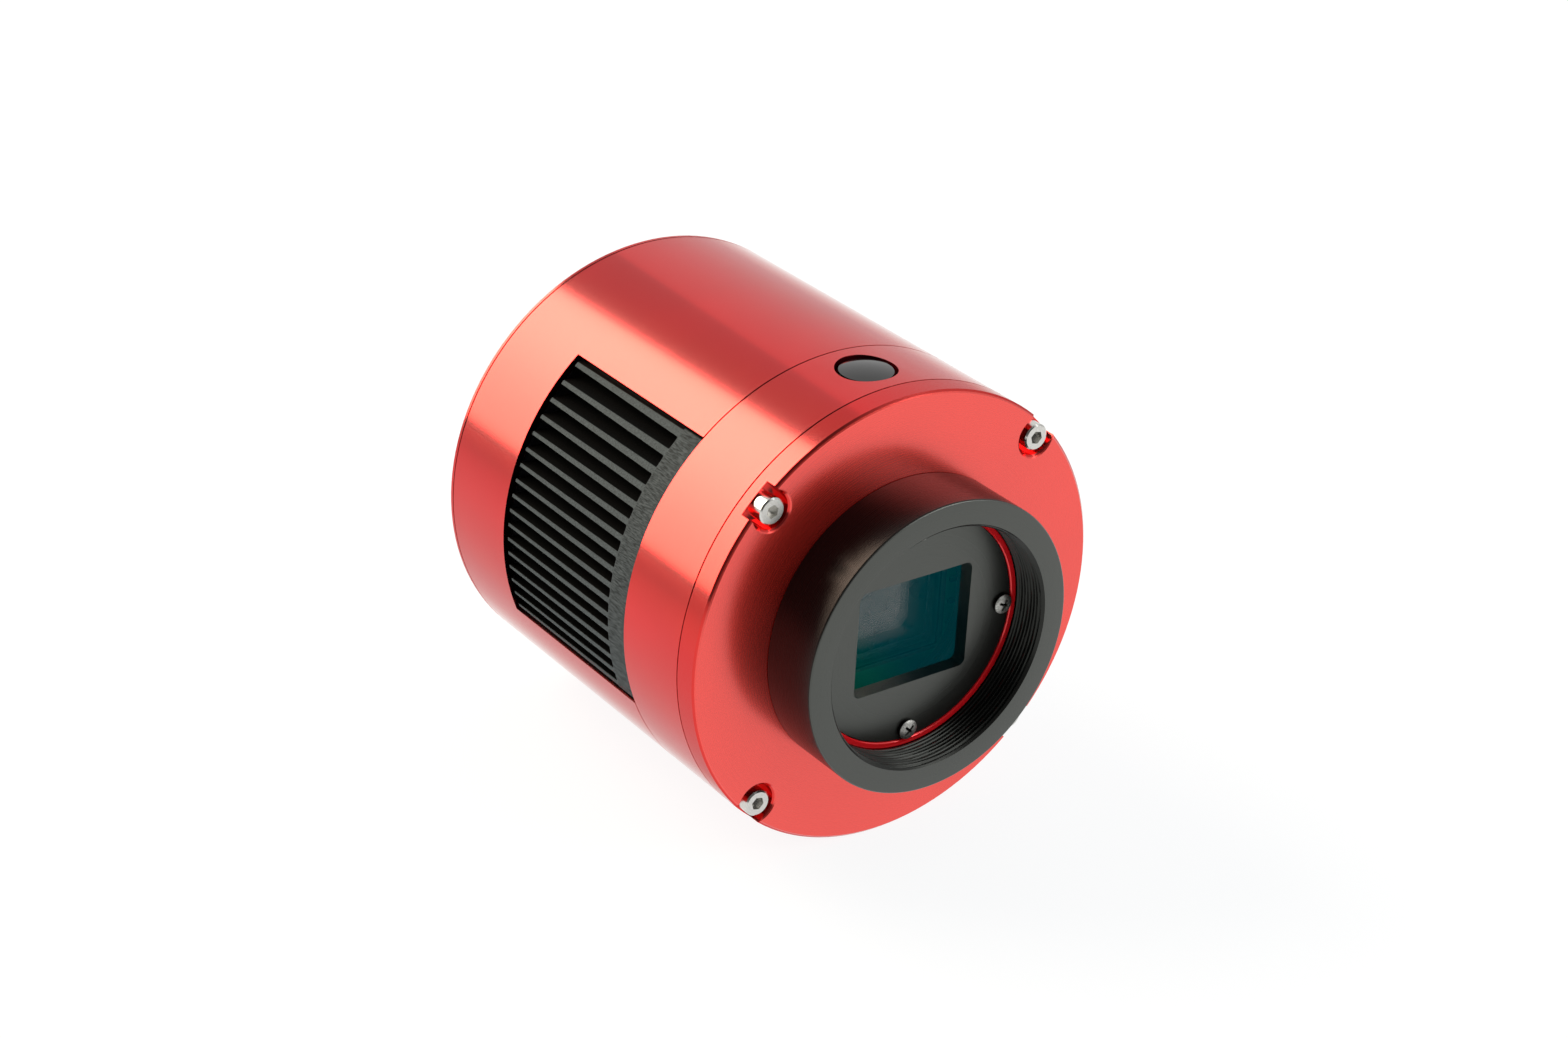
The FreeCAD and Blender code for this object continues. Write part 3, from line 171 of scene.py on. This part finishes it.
# Each pair holds the distances, in millimetres, between which one look gives way to the next.
PLATE_FRONT = (11.15, 11.25)
PLATE_FACE_RADIUS = (22.0, 23.0)
LIP_RADIUS = (21.0, 21.5)
BORE_RADIUS = (19.2, 19.4)
SEAM_RADIUS = (38.0, 38.5)
SKIN_RADIUS = (38.86, 38.92)
# Inside this radius, between the heat sink's fins, the colour is a painted near-black shade.
SINK_SLOT_SHADE_RADIUS = (38.45, 38.55)
SINK_FLANGE_END = (35.3, 35.5)
# Beyond this depth, down in the screws' cross recess, the colour is a painted near-black shade.
SCREW_SHADE_DEPTH = (6.2, 6.4)


def beyond(shader, value, start, end):
    """Nought up to the start and one from the end on, both in millimetres."""
    return shader.span(value, 0.0, 1.0, start * MM, end * MM)


def within(shader, value, start, end):
    """One up to the start and nought from the end on, both in millimetres."""
    return shader.span(value, 1.0, 0.0, start * MM, end * MM)


def near(shader, value, centre, reach):
    """One within the reach of the centre, fading out over the next three tenths of it."""
    away = shader.maths("ABSOLUTE", shader.maths("SUBTRACT", value, centre * MM))
    return within(shader, away, reach, 1.3 * reach)


def red_anodised(name, turned_face=False):
    """Dyed anodised aluminium: a coloured metal under a glossy clear oxide.

    A seam is a dull line round the body at a distance along the optical axis. The wall of the
    air port is dull too, and painted dark red as shade. The turned face of the front plate is
    paler than the skin of the body, its lip is deeper, and its bore is blackened against stray
    light.
    """
    coat_index, side_coat = (1.65, 0.56) if turned_face else (1.45, 1.0)
    side_rough, face_rough, extra_bore_rough, extra_port_rough = 0.11, 0.27, 0.6, 0.4
    face_metal, lip_metal_loss = 0.84, 0.75
    shader = Shader(name, Metallic=1.0, Coat_Roughness=0.19, Coat_IOR=coat_index,
                    Specular_Tint=(0.62, 0.18, 0.15, 1))
    marks = turned_grain(shader, 0.12)
    speckle = shader.noise(shader.position(), 9000, 2.0)
    cloud = shader.span(shader.noise(shader.position(), 60, 3.0), 0, 1, 0.35, 0.65)
    radius, along = radial_coordinates(shader)
    colour = shader.blend(cloud, tone(RED, 0.97), tone(RED, 1.03))
    rough, coat = side_rough, side_coat
    if turned_face:
        turned = shader.maths("MULTIPLY", within(shader, along, *PLATE_FRONT),
                              beyond(shader, radius, *PLATE_FACE_RADIUS))
        face = shader.blend(cloud, tone(FACE_RED, 0.98), tone(FACE_RED, 1.02))
        colour = shader.blend(turned, colour, face)
        rough = shader.span(turned, rough, face_rough)
        coat = shader.span(turned, coat, 1.0)
        lip = within(shader, radius, *LIP_RADIUS)
        colour = shader.blend(lip, colour, LIP_RED)
        metal = shader.maths("MULTIPLY_ADD", lip, -lip_metal_loss,
                             shader.span(turned, 1.0, face_metal))
        shader.link(metal, "Metallic")
        bore = within(shader, radius, *BORE_RADIUS)
        colour = shader.blend(bore, colour, INNER_BLACK)
        rough = shader.maths("MULTIPLY_ADD", bore, extra_bore_rough, rough)
    rim = beyond(shader, radius, *SEAM_RADIUS)
    for seam in SEAMS:
        line = shader.maths("MULTIPLY", near(shader, along, seam, SEAM_REACH), rim)
        colour = shader.blend(line, colour, SEAM_RED)
        coat = shader.maths("MULTIPLY", shader.maths("SUBTRACT", 1.0, line), coat)
    # The wall of the air port is painted dark red as shade, and made dull.
    port_wall_shade = shader.maths("MULTIPLY", near(shader, along, PORT_PLACE, PORT_REACH),
                             within(shader, radius, *SKIN_RADIUS))
    colour = shader.blend(port_wall_shade, colour, PORT_SHADE_RED)
    coat = shader.maths("MULTIPLY", coat, shader.maths("SUBTRACT", 1.0, port_wall_shade))
    rough = shader.maths("MULTIPLY_ADD", port_wall_shade, extra_port_rough, rough)
    shader.link(colour, "Base Color")
    shader.link(coat, "Coat Weight")
    mixed = shader.maths("ADD", shader.maths("MULTIPLY", marks, 0.6),
                         shader.maths("MULTIPLY", speckle, 0.4))
    grain = shader.span(mixed, 0.85, 1.15, 0.3, 0.7)
    shader.link(shader.maths("MULTIPLY", grain, rough), "Roughness")
    shader.bump(mixed, 0.0006 * MM)
    return shader.material


def black_anodised(name, gloss, rough, sheen=(0.95, 1, 0.92)):
    """Turned black aluminium; the sheen is the colour of its reflection."""
    shader = Shader(name, Metallic=0.0, Specular_IOR_Level=gloss, Specular_Tint=(*sheen, 1))
    marks = turned_grain(shader, 0.15)
    speckle = shader.noise(shader.position(), 12000, 2.0)
    shader.link(shader.blend(shader.span(speckle, 0, 1, 0.3, 0.7),
                             (0.003, 0.003, 0.0028), (0.008, 0.008, 0.0075)), "Base Color")
    shader.link(shader.span(marks, rough * 0.8, rough * 1.2, 0.3, 0.7), "Roughness")
    shader.bump(speckle, 0.0015 * MM)
    return shader.material


def heat_sink_black():
    """Milled cast black: grey worn skin outside, painted near-black between the fins as shade."""
    shader = Shader("cast_sink", Metallic=0.0, Specular_IOR_Level=0.04)
    radius, along = radial_coordinates(shader)
    skin = beyond(shader, radius, *SINK_SLOT_SHADE_RADIUS)
    flange = within(shader, along, *SINK_FLANGE_END)
    grain = shader.span(shader.noise(shader.position(), 3500, 4.0, 0.7), 0, 1, 0.3, 0.7)
    brushed = shader.noise(shader.scaled(shader.position(), (5000, 700, 5000)), 1.0, 4.0, 0.6)
    brushed = shader.span(brushed, 0, 1, 0.35, 0.65)
    fins = shader.blend(grain, (0.039, 0.046, 0.049), (0.102, 0.12, 0.128))
    rim = shader.blend(brushed, (0.023, 0.027, 0.029), (0.087, 0.101, 0.107))
    outside = shader.blend(flange, fins, rim)
    # Inside the skin's radius, down between the fins, the colour is a painted near-black shade.
    shader.link(shader.blend(skin, (0.0015, 0.0015, 0.0015), outside), "Base Color")
    shader.link(shader.span(grain, 0.5, 0.75), "Roughness")
    shader.bump(shader.maths("MULTIPLY", grain, skin), 0.012 * MM)
    return shader.material


def plain(name, colour, roughness, metallic=0.0, variation=0.15, grain=4000, depth=0.002, **more):
    """A simple surface with fine mottling in colour, roughness and height."""
    shader = Shader(name, Metallic=metallic, **more)
    speckle = shader.noise(shader.position(), grain, 3.0)
    factor = shader.span(speckle, 0, 1, 0.3, 0.7)
    deep, pale = tone(colour, 1 - variation), tone(colour, 1 + variation)
    shader.link(shader.blend(factor, deep, pale), "Base Color")
    shader.link(shader.span(speckle, roughness * 0.85, min(1, roughness * 1.15), 0.3, 0.7),
                "Roughness")
    shader.bump(speckle, depth * MM)
    return shader.material


def steel_with_recess_shade():
    """Brushed steel of the small screws, painted near-black down in the recess as shade."""
    shader = Shader("screw_steel", Metallic=1.0)
    along = radial_coordinates(shader)[1]
    speckle = shader.noise(shader.position(), 5000, 3.0)
    worn = shader.span(speckle, 0, 1, 0.3, 0.7)
    bright = shader.blend(worn, (0.2, 0.2, 0.185), (0.6, 0.6, 0.57))
    # Deep in the cross recess the colour is a painted near-black shade.
    deep = beyond(shader, along, *SCREW_SHADE_DEPTH)
    shader.link(shader.blend(deep, bright, (0.02, 0.02, 0.018)), "Base Color")
    shader.link(shader.span(worn, 0.4, 0.55), "Roughness")
    shader.bump(speckle, 0.012 * MM)
    return shader.material


def glass(name, colour, index, glint=(1, 1, 1)):
    """Clear glass; the glint is the colour of its reflection."""
    shader = Shader(name, Roughness=0.0, IOR=index, Transmission_Weight=1.0,
                    Specular_Tint=(*glint, 1))
    cloud = shader.noise(shader.position(), 80, 2.0)
    shader.link(shader.blend(cloud, tone(colour, 0.97), colour), "Base Color")
    return shader.material


def window_glass():
    """A coated window with almost no reflection.

    A faint glow stands in for the coating's bloom. It is greener towards -X and below, and
    bluer towards +X and above.
    """
    shader = Shader("window_glass", Roughness=0.0, IOR=1.05, Transmission_Weight=1.0,
                    Emission_Strength=0.017)
    parts = shader.node("ShaderNodeSeparateXYZ", {"Vector": shader.position()}).outputs
    slope = shader.maths("ADD", parts["X"], parts["Z"])
    across = shader.span(slope, 0, 1, -0.017, -0.006)
    bloom = shader.blend(across, (0.0, 1.0, 0.72), (0.0, 0.78, 0.96))
    shader.link(bloom, "Emission Color")
    cloud = shader.noise(shader.position(), 80, 2.0)
    shader.link(shader.blend(cloud, (0.9, 0.96, 0.96), (0.93, 0.98, 0.98)), "Base Color")
    return shader.material


black = black_anodised("black_anodised", 1.0, 0.32)
black_side = black_anodised("black_polished", 0.27, 0.28, sheen=(1, 0.8, 0.75))
black_thread = black_anodised("black_thread", 0.3, 0.25)
screw_steel = steel_with_recess_shade()
LOOKS = {
    "red_anodised": red_anodised("red_anodised"),
    "black_anodised": black,
    "cast_sink": heat_sink_black(),
    "stainless": plain("stainless", (0.62, 0.61, 0.58), 0.22, 1.0, variation=0.1, grain=6000,
                       depth=0.001),
    "window_glass": window_glass(),
    "rubber_seal": plain("rubber_seal", (0.012, 0.012, 0.012), 0.6),
    "plug_plastic": plain("plug_plastic", (0.006, 0.006, 0.006), 0.08, variation=0.2),
    "desiccant": plain("desiccant", (0.7, 0.7, 0.66), 0.9, variation=0.1, depth=0.02),
    "ceramic": plain("ceramic", (0.8, 0.8, 0.76), 0.6, variation=0.05),
    "package_ceramic": plain("package_ceramic", (0.015, 0.012, 0.01), 0.4),
    "silicon": plain("silicon", (0.01, 0.016, 0.017), 0.04, variation=0.05, grain=300, depth=0.0,
                     Specular_Tint=(*WARM_GLINT, 1)),
    "board_green": plain("board_green", (0.01, 0.08, 0.04), 0.35),
    "board_black": plain("board_black", (0.012, 0.012, 0.014), 0.35),
    "chip_black": plain("chip_black", (0.015, 0.015, 0.015), 0.5),
    "copper": plain("copper", (0.75, 0.3, 0.16), 0.3, 1.0),
    "enamel_copper": plain("enamel_copper", (0.5, 0.15, 0.05), 0.25, 0.8),
    "thermal_pad": plain("thermal_pad", (0.4, 0.42, 0.46), 0.8),
    "pellet": plain("pellet", (0.3, 0.3, 0.32), 0.5, 0.7),
    "foam": plain("foam", (0.02, 0.02, 0.02), 0.95, variation=0.4, depth=0.05),
    "wire_black": plain("wire_black", (0.015, 0.015, 0.015), 0.45),
    "flex": plain("flex", (0.42, 0.2, 0.03), 0.3),
    "socket_white": plain("socket_white", (0.7, 0.68, 0.6), 0.5),
    "brass_post": plain("brass_post", (0.7, 0.5, 0.2), 0.3, 1.0),
    "socket_steel": plain("socket_steel", (0.7, 0.7, 0.7), 0.2, 1.0),
    "insert_blue": plain("insert_blue", (0.01, 0.06, 0.4), 0.4),
    "insert_black": plain("insert_black", (0.012, 0.012, 0.012), 0.5),
    "jack_plastic": plain("jack_plastic", (0.012, 0.012, 0.012), 0.45),
    "can": plain("can", (0.7, 0.7, 0.72), 0.3, 1.0),
    "fan_plastic": plain("fan_plastic", (0.012, 0.012, 0.012), 0.5, depth=0.01),
    "magnet": plain("magnet", (0.05, 0.045, 0.04), 0.7),
    "steel": plain("steel", (0.5, 0.5, 0.5), 0.2, 1.0),
    "lamination": plain("lamination", (0.25, 0.25, 0.27), 0.4, 0.8),
}

for part in frame["record"]["subparts"]:
    mesh_object = nodes[part["node"]]
    mesh_object.data.materials.clear()
    mesh_object.data.materials.append(LOOKS[part["material_slot"]])
cover_glass = glass("cover_glass", (0.93, 0.95, 0.95), 1.31, WARM_GLINT)
nodes["front_plate"].data.materials[0] = red_anodised("red_face", turned_face=True)
nodes["retainer_screws"].data.materials[0] = screw_steel
nodes["sensor_cover_glass"].data.materials[0] = cover_glass


# ------------------------------------------------------------------------ detail pieces


def as_object(name, mesh):
    """The finished mesh as an object, which is not in the scene yet."""
    data = bpy.data.meshes.new(name)
    mesh.to_mesh(data)
    mesh.free()
    return bpy.data.objects.new(name, data)


def crease(mesh, degrees):
    """Keep the edges sharp that turn by the angle or more, and the others smooth."""
    for edge in mesh.edges:
        edge.smooth = edge.calc_face_angle(0.0) < math.radians(degrees)


def lathe(name, outline, columns, shape):
    """A closed solid turned round the optical axis from (radius, along, threaded) points in mm.

    The shape gives a change of radius for the points that are threaded.
    """
    mesh = bmesh.new()
    rows = []
    for radius, along, threaded in outline:
        row = []
        for step in range(columns):
            angle = 2 * math.pi * step / columns
            reach = (radius + (shape(along, angle) if threaded else 0)) * MM
            place = (reach * math.cos(angle), along * MM, reach * math.sin(angle))
            row.append(mesh.verts.new(place))
        rows.append(row)
    for index, row in enumerate(rows):
        following = rows[(index + 1) % len(rows)]
        for step in range(columns):
            after = (step + 1) % columns
            mesh.faces.new((row[step], row[after], following[after], following[step]))
    bmesh.ops.recalc_face_normals(mesh, faces=mesh.faces)
    for face in mesh.faces:
        face.smooth = True
    crease(mesh, 28)
    piece = as_object(name, mesh)
    bpy.context.collection.objects.link(piece)
    return piece


# The thread of the nose, in millimetres. A larger flat leaves more of the crest uncut, and a
# larger steepness widens the root.
THREAD = {
    "pitch": 0.75, "crest": 20.594, "depth": 0.42, "chamfer": 0.556, "end": 6.3, "run_out": 0.4,
    "steepness": 1.6, "flat": 0.25, "rows": 86, "columns": 192,
}


def mouth_flare(along):
    """How far the chamfer of the mouth stands back from the crest of the thread."""
    return max(0.0, THREAD["chamfer"] - along)


def thread_shape(along, angle):
    """The extra radius of the M42 x 0.75 groove, which also cuts through the chamfer."""
    turns = along / THREAD["pitch"] - angle / (2 * math.pi)
    wedge = abs((turns % 1.0) * 2 - 1)
    groove = min(1.0, max(0.0, THREAD["steepness"] * wedge - THREAD["flat"]))
    run_out = min(1.0, max(0.0, (THREAD["end"] - along) / THREAD["run_out"]))
    return max(0.0, THREAD["depth"] * groove * run_out - mouth_flare(along))


def make_extender_ring():
    """The T2 extender: a rounded outer rim and a real helical thread inside."""
    outer, length, counterbore = 25.25, 11.0, 21.0
    rounding, rounding_steps = 0.35, 5
    back_chamfer, shoulder, side_depth = 0.15, 0.1, 0.1
    outline = [(counterbore, length, False), (outer - back_chamfer, length, False)]
    outline.append((outer, length - back_chamfer, False))
    for step in range(rounding_steps + 1):
        turn = math.radians(90 * step / rounding_steps)
        radius = outer - rounding * (1 - math.cos(turn))
        outline.append((radius, rounding * (1 - math.sin(turn)), False))
    for row in range(THREAD["rows"] + 1):
        along = THREAD["end"] * row / THREAD["rows"]
        outline.append((THREAD["crest"] + mouth_flare(along), along, True))
    outline.append((counterbore, THREAD["end"] + shoulder, False))
    ring = lathe("t2_extender_ring_threaded", outline, THREAD["columns"], thread_shape)
    for look in (black, black_side, black_thread):
        ring.data.materials.append(look)
    for polygon in ring.data.polygons:
        centre = polygon.center
        radius = math.hypot(centre.x, centre.z) / MM
        if radius > outer - side_depth:
            polygon.material_index = 1
        elif radius < THREAD["crest"] + THREAD["chamfer"]:
            polygon.material_index = 2
    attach(ring, "extender_ring")
    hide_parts("t2_extender_ring")


# The screws of the window's retainer, in millimetres. Their heads rest on the seat.
SCREW = {"seat": 6.9, "circle": 17.85, "head": 1.7, "height": 1.05, "shank": 0.95, "length": 5.2}


def screw_profile():
    """Half the outline of a low domed screw, as (radius, along) points in mm.

    The dome is part of an oval that comes down to the head's rim after 66 degrees.
    """
    seat, head, shank = SCREW["seat"], SCREW["head"], SCREW["shank"]
    top, tip = seat - SCREW["height"], seat + SCREW["length"]
    dome_turn, dome_steps, oval_height = 66, 6, 0.7
    oval_radius = 1.12 * head / 1.023
    profile = [(0.0, top)]
    for step in range(1, dome_steps + 1):
        turn = math.radians(dome_turn * step / dome_steps)
        profile.append((oval_radius * math.sin(turn), top + oval_height * (1 - math.cos(turn))))
    return profile + [(head, seat), (shank, seat), (shank, tip), (0.0, tip)]


def turned_screw():
    """One screw on the optical axis, its head still without a recess."""
    mesh = bmesh.new()
    points = [mesh.verts.new((radius * MM, along * MM, 0)) for radius, along in screw_profile()]
    edges = [mesh.edges.new(ends) for ends in zip(points, points[1:])]
    bmesh.ops.spin(mesh, geom=points + edges, cent=(0, 0, 0), axis=(0, 1, 0),
                   angle=2 * math.pi, steps=40, use_merge=True)
    bmesh.ops.remove_doubles(mesh, verts=mesh.verts, dist=1e-6)
    bmesh.ops.recalc_face_normals(mesh, faces=mesh.faces)
    for face in mesh.faces:
        face.smooth = True
    return as_object("retainer_screw", mesh)


def cross_cutter(start, depth, reach, width, taper):
    """A cross-shaped prism along Y, to cut a driver's recess; its far end is scaled by the taper."""
    half = width / 2
    outline = [(reach, half), (half, half), (half, reach)]
    corners = []
    for quarter in range(4):
        turn = Matrix.Rotation(math.radians(90 * quarter), 2)
        corners += [turn @ Vector(point) for point in outline]
    mesh = bmesh.new()
    ends = []
    for along, scale in ((start, 1.0), (start + depth, taper)):
        ring = []
        for corner in corners:
            ring.append(mesh.verts.new((corner.x * scale * MM, along * MM, corner.y * scale * MM)))
        ends.append(ring)
        mesh.faces.new(ring)
    for index in range(len(corners)):
        after = (index + 1) % len(corners)
        mesh.faces.new((ends[0][index], ends[0][after], ends[1][after], ends[1][index]))
    bmesh.ops.recalc_face_normals(mesh, faces=mesh.faces)
    return as_object("cross_cutter", mesh)


def cut_away(solid, cutter):
    """The mesh that is left of the solid once the cutter's shape is taken out of it."""
    for item in (solid, cutter):
        bpy.context.collection.objects.link(item)
    cut = solid.modifiers.new("recess", "BOOLEAN")
    cut.object, cut.operation, cut.solver = cutter, "DIFFERENCE", "EXACT"
    bpy.context.view_layer.update()
    graph = bpy.context.evaluated_depsgraph_get()
    left = bpy.data.meshes.new_from_object(solid.evaluated_get(graph))
    for item in (solid, cutter):
        bpy.data.objects.remove(item)
    return left


def make_retainer_screws():
    """Four cross-recess screws, one every quarter turn, each cross at an angle of its own."""
    first_turn, further_turn, above_top = 23, 37, 0.15
    circle = SCREW["circle"] * MM
    start = SCREW["seat"] - (SCREW["height"] + above_top)
    cutter = cross_cutter(start, depth=0.95, reach=1.18, width=0.5, taper=0.62)
    single = cut_away(turned_screw(), cutter)
    screws = bmesh.new()
    for quarter in range(4):
        angle = math.radians(90 * quarter)
        place = Vector((circle * math.cos(angle), 0, circle * math.sin(angle)))
        turn = Matrix.Rotation(math.radians(first_turn + further_turn * quarter), 3, "Y")
        before = len(screws.verts)
        screws.from_mesh(single)
        screws.verts.ensure_lookup_table()
        for vertex in screws.verts[before:]:
            vertex.co = turn @ vertex.co + place
    crease(screws, 35)
    piece = as_object("retainer_screws_cross", screws)
    piece.data.materials.append(screw_steel)
    bpy.context.collection.objects.link(piece)
    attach(piece, "camera")
    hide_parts("retainer_screws")


make_extender_ring()
make_retainer_screws()


# ------------------------------------------------------------------------ floor and lights


def emissive_floor():
    """A pale sheet that glows a little, as a white sweep lit from all round does.

    Its light falls off towards -X and the back.
    """
    aside, backwards, start = -0.922, 0.387, 0.145
    gap = 0.0002
    shader = Shader("floor_sheet", Roughness=0.9, Specular_IOR_Level=0.0)
    cloud = shader.noise(shader.position(), 2.0, 2.0)
    shader.link(shader.blend(cloud, (0.12, 0.12, 0.12), (0.13, 0.13, 0.13)), "Base Color")
    shader.principled.inputs["Emission Color"].default_value = (0.985, 0.995, 1, 1)
    parts = shader.node("ShaderNodeSeparateXYZ", {"Vector": shader.position()}).outputs
    slope = shader.maths("MULTIPLY_ADD", parts["X"], aside, -start)
    away = shader.maths("MULTIPLY_ADD", parts["Y"], backwards, slope)
    shader.link(shader.span(away, 0.9, 0.6, 0.0, 0.25), "Emission Strength")
    bpy.ops.mesh.primitive_circle_add(vertices=96, radius=3.0, fill_type="NGON")
    floor = bpy.context.object
    floor.name = "floor"
    low = cad_bounds[0]
    floor.location = (0, 0, low[2] - gap)
    floor.data.materials.append(shader.material)


def panel(name, azimuths, heights, distance, colour, radiance, fade=1.0):
    """An upright soft light between two azimuths and two heights.

    Azimuths are degrees from +Y towards -X. The radiance at the foot is fade times the top's,
    and it is full from six tenths of the height on.
    """
    full_from = 0.6
    low, high = (math.radians(value) for value in azimuths)
    middle, spread = (low + high) / 2, (high - low) / 2
    width, height = 2 * distance * math.tan(spread), heights[1] - heights[0]
    outwards = Vector((-math.sin(middle), math.cos(middle), 0))
    data = bpy.data.lights.new(name, "AREA")
    data.shape = "RECTANGLE"
    data.size, data.size_y = width, height
    data.color = colour
    data.energy = radiance * math.pi * width * height
    data.use_nodes = True
    tree = data.node_tree
    place = tree.nodes.new("ShaderNodeNewGeometry")
    split = tree.nodes.new("ShaderNodeSeparateXYZ")
    ramp = tree.nodes.new("ShaderNodeMapRange")
    ramp.interpolation_type = "SMOOTHSTEP"
    ramp.inputs["From Max"].default_value = full_from
    ramp.inputs["To Min"].default_value = fade
    tree.links.new(place.outputs["Parametric"], split.inputs["Vector"])
    tree.links.new(split.outputs["Y"], ramp.inputs["Value"])
    tree.links.new(ramp.outputs["Result"], tree.nodes["Emission"].inputs["Strength"])
    lamp = bpy.data.objects.new(name, data)
    lamp.location = outwards * distance + Vector((0, 0, (heights[0] + heights[1]) / 2))
    side = Vector((0, 0, 1)).cross(outwards)
    lamp.rotation_euler = Matrix((side, (0, 0, 1), outwards)).transposed().to_euler()
    bpy.context.collection.objects.link(lamp)


def surroundings():
    """A grey room, darker towards the front left."""
    bright_side = (0.77, 0.64, 0)
    levels = {"From Min": -0.35, "From Max": 0.25, "To Min": 0.12, "To Max": 0.7}
    world = bpy.data.worlds.new("studio")
    world.use_nodes = True
    tree = world.node_tree
    direction = tree.nodes.new("ShaderNodeTexCoord")
    along = tree.nodes.new("ShaderNodeVectorMath")
    along.operation = "DOT_PRODUCT"
    along.inputs[1].default_value = bright_side
    level = tree.nodes.new("ShaderNodeMapRange")
    level.interpolation_type = "SMOOTHSTEP"
    for socket, value in levels.items():
        level.inputs[socket].default_value = value
    background = tree.nodes["Background"]
    tree.links.new(direction.outputs["Generated"], along.inputs[0])
    tree.links.new(along.outputs["Value"], level.inputs["Value"])
    tree.links.new(level.outputs["Result"], background.inputs["Strength"])
    background.inputs["Color"].default_value = (1, 1, 1, 1)
    bpy.context.scene.world = world


def studio():
    """The room, the floor and three soft lights."""
    surroundings()
    emissive_floor()
    panel("left_softbox", (4.5, 56), (0.03, 2.2), 1.6, (1, 0.88, 0.7), 8.6, 0.58)
    panel("right_card", (-75, -22), (0.0, 2.2), 1.6, (1, 1, 1), 0.25)
    panel("front_softbox", (-165, -125), (0.4, 1.6), 1.6, (1, 1, 1), 3.6)


def photo_camera():
    """The camera at the front left, above the object; its axes are squared up before use."""
    place = (-0.2667, -0.3111, 0.2292)
    data = bpy.data.cameras.new("camera")
    data.sensor_fit = "HORIZONTAL"
    data.sensor_width = 36.0
    data.lens = 69.1
    data.clip_start, data.clip_end = 0.01, 20
    camera = bpy.data.objects.new("camera", data)
    right = Vector((0.8113, -0.5824, 0.0473))
    up = Vector((0.2304, 0.3932, 0.8901))
    back = right.cross(up).normalized()
    up = back.cross(right.normalized())
    turn = Matrix((right.normalized(), up, back)).transposed().to_4x4()
    camera.matrix_world = Matrix.Translation(place) @ turn
    bpy.context.collection.objects.link(camera)
    bpy.context.scene.camera = camera


studio()
photo_camera()
bpy.context.scene.view_settings.view_transform = "Standard"
